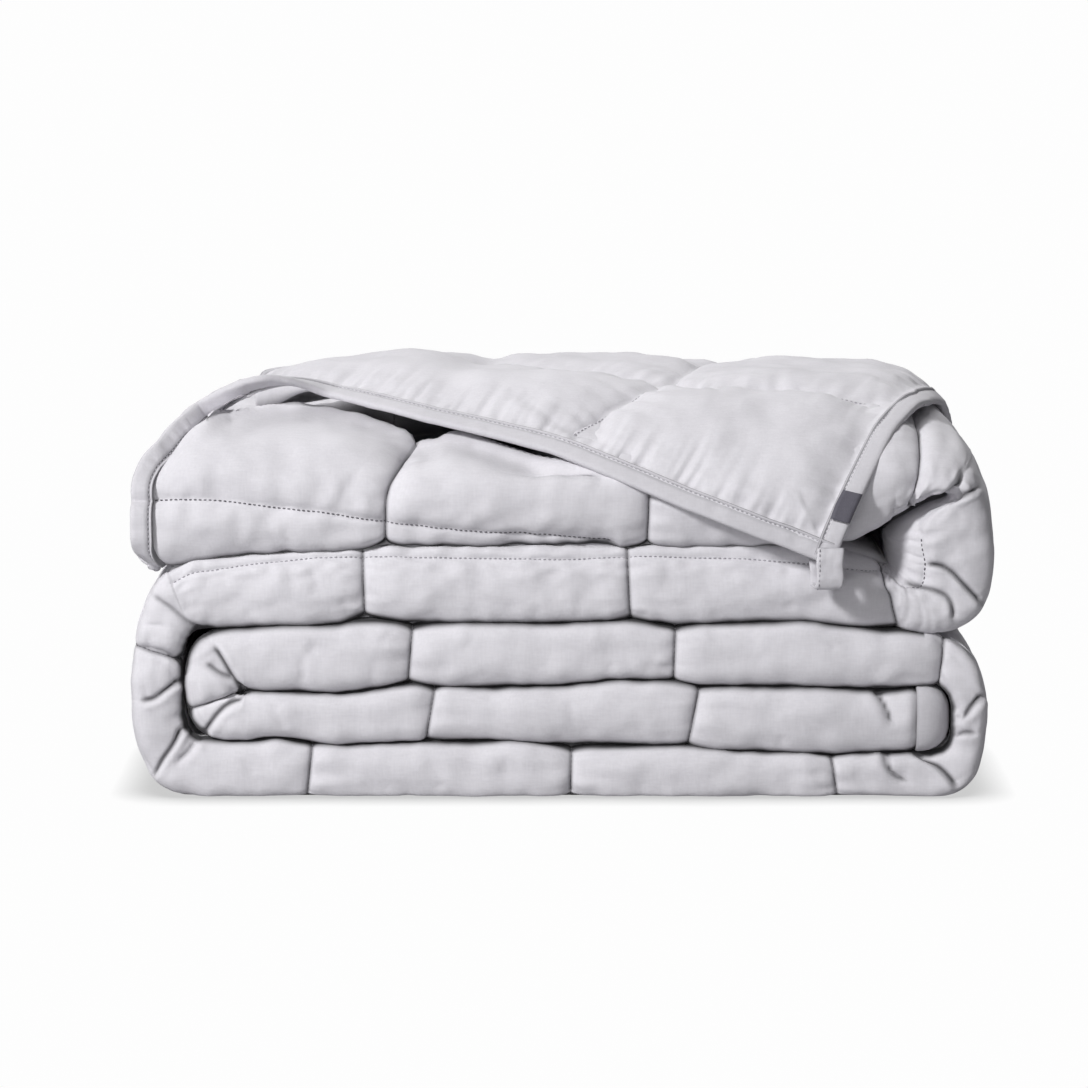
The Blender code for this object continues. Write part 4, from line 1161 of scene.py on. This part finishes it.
def makeEndBand():
    # Along the corner's front hem, over to the left end of the top run, down its front, and back and forth
    # along the ends of the inner layers
    middle = (corner["hemUnder"] + corner["hemOver"]) / 2
    a = np.linspace(0.0, 0.86, 90)
    outer, centre, inner = (cornerPoints(a, np.full_like(a, share * corner["binding"] / sideLength), middle)
                            for share in (0.0, 0.5, 1.0))
    turn, under = (np.array(band[key]) * np.repeat([1, corner["binding"]], 3) for key in ("turn", "under"))
    ladder = [(band["ladderX"], y, z, -corner["binding"], 0, 0) for y, z in band["ladder"]]
    table = resample(np.concatenate([np.concatenate([centre, outer - inner], axis=1), turn, endRows(), under, ladder]),
                     band["step"])
    gathered = 1.0 + 2.2 * smooth((-128.0 - table[:, 0]) / 12.0) * (table[:, 2] > 140)
    return addBand("endBand", table, band["width"], band["thick"], 2.0, gathered)


def makeSideBand():
    b = np.linspace(0.0, corner["stop"] + 0.005, 150)
    middle = (corner["hemUnder"] + corner["hemOver"]) / 2
    centre = cornerPoints(corner["binding"] / 2 / cornerWidth(b), b, middle)
    outer = cornerPoints(np.zeros_like(b), b, middle)
    table = resample(np.concatenate([centre, (outer - centre) * 2], axis=1), band["step"])
    return addBand("sideBand", table, band["width"], band["thick"], 12.0)


def makeLongBand(name, share, stopAt, seed):
    # Along the back of every run, at a share of its thickness
    rows = []
    for place in np.arange(1.0, stopAt, 4.0):
        (upper, lower), dome = stretchAt(place)[3:]
        x, z = mix(lower, upper, share)
        z -= body["behindDrop"] * dome * (share > 0.5) * 0.3
        near = min(abs(place - p) for p, t in seamPlaces)
        thick = min(band["thick"], band["longShare"] * np.linalg.norm(upper - lower))
        rows.append([x, band["longBack"] - 1.2 * math.exp(-near / 8.0), z, 0, corner["binding"], 0, thick])
    table = resample(rows, band["longStep"])
    return addBand(name, table, band["longWidth"], table[:, 6], seed, band["longCrumple"])


def makeInnerBand():
    # The bound inner end, a cap over the end of the cloth
    start = runs["B"][0]
    upper, lower = runRib("B", start)
    shares, depths, marks = ringOutline("plain", 0.0)
    ring = np.stack([np.full(len(shares), float(start)), depths, lower[1] + (upper[1] - lower[1]) * shares], axis=1)
    middle = ring.copy()
    middle[:, 2] = ring[:, 2].mean()
    middle[:, 1] = np.clip(ring[:, 1], 14.0, 362.0)
    # across the cap: x past the cloth's end, and how much nearer the middle
    profile = [(-6.2, 0.05), (-6.4, -0.02), (-6.0, -0.05), (-5.0, -0.055), (-3.0, -0.05), (0.0, -0.02), (3.0, 0.06),
               (5.6, 0.18), (7.6, 0.34), (8.9, 0.54), (9.5, 0.76), (9.7, 0.98)]
    points = np.concatenate([mix(ring, middle, inward) + np.array([out, 0.0, 0.0]) for out, inward in profile])
    # Painted shade where the cap meets the cloth, darkest in its first rows
    paintedShades = np.repeat([0.8, 0.8, 0.3] + [0.0] * (len(profile) - 3), len(ring))
    return addPiece("innerBand", points, tubeFaces(len(profile), len(ring)), bindingCotton, paintedShades)


endBand = makeEndBand()
sideBand = makeSideBand()
longBandOuter = makeLongBand("longBandOuter", 0.87, mix(startOf["DE"], startOf["E"], 0.62), 21.0)
longBandInner = makeLongBand("longBandInner", 0.62, wholeLength - 1.0, 27.0)
innerBand = makeInnerBand()
print("bindings done")


def makeLoop():
    # A strip folded in two that hangs with one leg before the corner and one behind it
    half = loop["thick"] / 2
    drop = loop["bottom"] + loop["thick"]
    yFront, yBack = loop["front"] + half, loop["back"] - half
    path = [(yFront + 0.9, loop["top"] + 0.5, 0.0), (yFront, loop["top"] - 2.5, 0.0), (yFront - 0.1, 106, 0.0),
            (yFront, drop + 3, 0.05), (yFront + 1.5, drop - half + 0.4, 0.18), (yFront + 4.5, drop - half, 0.38),
            (yBack - 4.5, drop - half, 0.62), (yBack - 1.5, drop - half + 0.4, 0.85), (yBack, drop + 3, 0.97),
            (yBack, 104, 1.0), (yBack, loop["backTop"], 1.0)]
    table = resample([(0.0, y, z, lean) for y, z, lean in path], 0.8)
    centres = loop["x"] - loop["lean"] * table[:, 3]
    across = np.linspace(-1, 1, 15)
    tangent = unit(np.gradient(table[:, 1:3], axis=0))
    points = []
    for centre, y, z, (alongY, alongZ) in zip(centres, table[:, 1], table[:, 2], tangent):
        for side in (1, -1):
            lanes = across[::side]
            edge = np.sqrt(np.clip(1 - np.abs(lanes) ** 8, 0, 1))
            seam = 0.25 * np.exp(-((np.abs(lanes) - loop["stitchPlace"]) / 0.07) ** 2)
            crumple = np.array([0.35 * noise.noise(Vector((w * 2.0, z / 4.0, y / 5.0))) for w in lanes])
            height = half * (0.35 + 0.65 * edge) * side - side * seam + crumple
            points.append(np.column_stack([centre + lanes * loop["width"] / 2 + 0.25 * math.sin(z * 0.5),
                                           y - alongZ * height, z + alongY * height]))
    outward = np.column_stack([np.zeros(len(table)), -tangent[:, 1], tangent[:, 0]])
    outward *= -1 if outward[2, 1] > 0 else 1
    lane = np.column_stack([centres - loop["stitchPlace"] * loop["width"] / 2, table[:, 1:3]])
    addStitchLine(np.concatenate([lane + outward * (half - 0.15), outward], axis=1), "hem")
    return addPiece("cornerLoop", np.concatenate(points), tubeFaces(len(table), 2 * len(across)), bindingCotton)


def makePatch():
    # A thin woven strip folded over the side hem beside the loop
    steps = 18
    low, high = corner["hemUnder"] - patch["gap"], corner["hemOver"] + patch["gap"]
    section = [(9.3, high + 0.2)] + [(w, high) for w in (7.5, 5.5, 3.5, 1.8)]
    middle, half = (low + high) / 2, (high - low) / 2
    section += [(0.6 - 1.4 * math.cos(t), middle + half * math.sin(t)) for t in np.radians((60, 35, 12, -12, -35, -60))]
    section += [(w, low) for w in (1.8, 3.5, 5.5, 7.5)] + [(9.3, low - 0.2)]
    section = np.array(section)
    tangent = unit(np.gradient(section, axis=0))
    normal = np.stack([tangent[:, 1], -tangent[:, 0]], axis=1)
    normal *= -1 if normal[0, 1] < 0 else 1
    across, off = np.concatenate([section, (section + normal * patch["thick"])[::-1]]).T
    points = []
    for step in range(steps + 1):
        share = step / steps
        bow = 0.5 * math.sin(math.pi * share)
        b = (patch["start"] + patch["length"] * share) / sideLength
        width = float(cornerWidth(np.array([b]))[0])
        points.append(cornerPoints((across + bow * (across > 6)) / width, np.full(len(across), b), off))
    size = len(across)
    ends = [(i, i + 1, size - 2 - i, size - 1 - i) for i in range(size // 2 - 1)]
    faces = tubeFaces(steps + 1, size, False) + ends
    faces += [tuple(steps * size + k for k in reversed(quad)) for quad in ends]
    return addPiece("edgePatch", np.concatenate(points), faces, wovenPatch)


cornerLoop = makeLoop()
edgePatch = makePatch()
print("loop and patch done")


def bodyStitchLines():
    # Along every seam that shows, on the puffed surface
    surface = np.concatenate([ringedPoints, bodyNormals], axis=1)
    rowPlaces = np.array([row[2] for row in bodyRows])
    for place, tilt in seamPlaces:
        row = bodyRows[int(np.abs(rowPlaces - place).argmin())]
        marks, kind = row[1], kindOf[row[3]]
        zones = [marks < 2.0, marks >= 3.0] if kind == "outerQ" else [marks < 2.0, (marks >= 3.0) & (marks < 4.0)]
        for zone in [marks < 4.0] if kind in ("outerP", "top") else zones:
            addStitchLine(surface[spanOf(row)][zone], "quilt")
    front, back = [], []
    for row, (frontSpot, backSpot) in zip(bodyRows, seamSpots):
        start, marks, place, name = row
        ring, ways = surface[spanOf(row)], bodyAround[spanOf(row)]
        lobe = (marks >= 3.0) & (marks < 4.0)
        back.append(columnsAt(backSpot, ways[lobe], ring[lobe]))
        group = "hem" if name in ("AD", "D") else "quilt"
        if front and (lastGroup != group or place - lastPlace > 4.0):
            addStitchLine(front, lastGroup)
            front = []
        lastGroup = group
        if {"D": True, "DE": bodyInfo["seam"][start] > 0.24, "E": basePoints[start, 0] < 24.0,
                "AD": place > startOf["D"] - 18.0}.get(name, False):
            lastPlace = place
            front.append(columnsAt(frontSpot, ways[marks < 2], ring[marks < 2]))
    addStitchLine(front, "quilt")
    addStitchLine(back, "quilt")
    for y in stack["flatSeams"]:
        for zone, sign, kinds in ((2, 1, ("outerP", "top")), (4, -1, ("outerQ",))):
            line = []
            for start, marks, place, name in bodyRows:
                if kindOf[name] not in kinds:
                    if line:
                        addStitchLine(line, "quilt")
                    line = []
                    continue
                inZone = start + np.where((marks >= zone) & (marks < zone + 1))[0]
                depths = basePoints[inZone, 1]
                if depths.max() >= y:
                    spot = columnsAt(sign * y, sign * depths, ringedPoints[inZone])
                    line.append(np.concatenate([spot, bodyNormals[inZone[np.abs(depths - y).argmin()]]]))
            if line:
                addStitchLine(line, "quilt")


def cornerStitchLines():
    for seam in corner["seams"]:
        s, v = alongLine(seam, np.arange(1.0, alongLine(seam, 0)[1], 1.5))[0].T
        push = cornerPush(s, v)
        spots, above = (drape(s, v, corner["over"] + push + lift) for lift in (0.0, 1.0))
        shown = creaseDistance(s, v) < -2.0
        addStitchLine(np.concatenate([spots, unit(above - spots)], axis=1)[shown], "hem")


def makeStitches(name, group, material):
    # One small faceted stitch after another along every stitch line of the group
    points, faces = [], []
    for rows, kind in stitchLines:
        if kind != group or len(rows) < 2:
            continue
        lengths = summed(stepLengths(rows[:, :3]))
        keep = np.concatenate([[True], np.diff(lengths) > 1e-6])
        rows, lengths = rows[keep], lengths[keep]
        for begin in np.arange(0.6, lengths[-1] - thread["length"], thread["pitch"]):
            first, last = columnsAt(np.array([begin, begin + thread["length"]]), lengths, rows[:, :3])
            up = columnsAt(begin + 0.7, lengths, rows[:, 3:])
            up /= max(np.linalg.norm(up), 1e-6)
            along = last - first
            size = np.linalg.norm(along)
            if size < 0.5 or size > 2.5 * thread["length"]:
                continue
            along /= size
            half, over = np.cross(along, up) * thread["thick"], up * thread["thick"]
            count = len(points)
            for share, wide, high in ((0.0, False, -0.25), (0.2, True, 0.0), (0.8, True, 0.0), (1.0, False, -0.25)):
                centre = first + along * size * share + up * (thread["lift"] + high)
                points += [centre + half, centre + over, centre - half, centre - over] if wide else [centre]
            for k in range(4):
                n = (k + 1) % 4
                faces.append((count, count + 1 + n, count + 1 + k))
                faces.append((count + 1 + k, count + 1 + n, count + 5 + n, count + 5 + k))
                faces.append((count + 9, count + 5 + k, count + 5 + n))
    return addPiece(name, np.array(points), faces, material)


bodyStitchLines()
cornerStitchLines()
quiltStitches = makeStitches("quiltStitches", "quilt", sewingThreadWithPaintedShade)
hemStitches = makeStitches("hemStitches", "hem", hemThread)
print("stitches done")


for piece in (quiltedBody, turnedCorner, endBand, sideBand, longBandOuter, longBandInner, innerBand, cornerLoop,
              edgePatch, quiltStitches, hemStitches):
    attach(piece, "root")
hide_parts("quilted_body")
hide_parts("quilted_body")
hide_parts("end_binding")
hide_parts("corner_side_binding")
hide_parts("long_binding_outer")
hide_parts("long_binding_inner")
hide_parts("inner_end_binding")
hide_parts("corner_loop")
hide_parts("edge_patch")


floorMesh = bpy.data.meshes.new("studioFloor")
floorMesh.from_pydata([(-20, -3, 0), (20, -3, 0), (20, 40, 0), (-20, 40, 0)], [], [(0, 1, 2, 3)])
floorMaterial = bpy.data.materials.new("palePaper")
floorMaterial.use_nodes = True
floorTree = floorMaterial.node_tree
floorShader = floorTree.nodes["Principled BSDF"]
floorShader.inputs["Base Color"].default_value = hexColour(studio["floorColour"])
floorShader.inputs["Roughness"].default_value = studio["floorRoughness"]
# For the camera the floor glows, evenly bright away from the blanket and darker near it: a painted contact shadow from
# ambient occlusion. Other rays see the plain diffuse floor.
nearness = addNode(floorTree, "ShaderNodeAmbientOcclusion", {"Distance": studio["shadeReach"]}, samples=12)
paintedShadowGlow = addNode(floorTree, "ShaderNodeMapRange", {
    "Value": nearness.outputs["AO"], "From Min": studio["shadeFrom"], "From Max": 1.0,
    "To Min": studio["floorGlow"][0], "To Max": studio["floorGlow"][1]})
glowing = addNode(floorTree, "ShaderNodeEmission", {"Strength": paintedShadowGlow.outputs[0]})
isSeen = addNode(floorTree, "ShaderNodeLightPath").outputs["Is Camera Ray"]
floorMix = addNode(floorTree, "ShaderNodeMixShader", {0: isSeen, 1: floorShader.outputs[0], 2: glowing.outputs[0]})
floorTree.links.new(floorMix.outputs[0], floorTree.nodes["Material Output"].inputs["Surface"])
floorMesh.materials.append(floorMaterial)
studioFloor = addObject("studioFloor", floorMesh)
studioFloor.location.z = -studio["floorDrop"]

bpy.context.scene.view_settings.view_transform = "Standard"
world = bpy.data.worlds.new("studioWorld")
world.use_nodes = True
background = world.node_tree.nodes["Background"]
background.inputs[0].default_value = hexColour(studio["worldColour"])
seenWorld = addNode(world.node_tree, "ShaderNodeLightPath").outputs["Is Camera Ray"]
worldLight = addNode(world.node_tree, "ShaderNodeMapRange", {
    "Value": seenWorld, "To Min": studio["worldStrength"], "To Max": 1.0})
world.node_tree.links.new(worldLight.outputs[0], background.inputs[1])
bpy.context.scene.world = world

for name, place, target, size, power in studio["lights"]:
    light = bpy.data.lights.new(name, "AREA")
    light.size, light.energy = size, power
    lamp = addObject(name, light)
    lamp.location = place
    lamp.rotation_euler = (Vector(target) - Vector(place)).to_track_quat("-Z", "Y").to_euler()

angle = math.radians(studio["elevation"])
target = (Vector(studio["target"]) - Vector(stack["middle"])) * 0.001
cameraData = bpy.data.cameras.new("photoCamera")
cameraData.lens = studio["lens"]
cameraData.sensor_width = 36.0
camera = addObject("photoCamera", cameraData)
camera.location = target + Vector((0, -math.cos(angle), math.sin(angle))) * studio["distance"] * 0.001
camera.rotation_euler = (target - camera.location).to_track_quat("-Z", "Y").to_euler()
bpy.context.scene.camera = camera
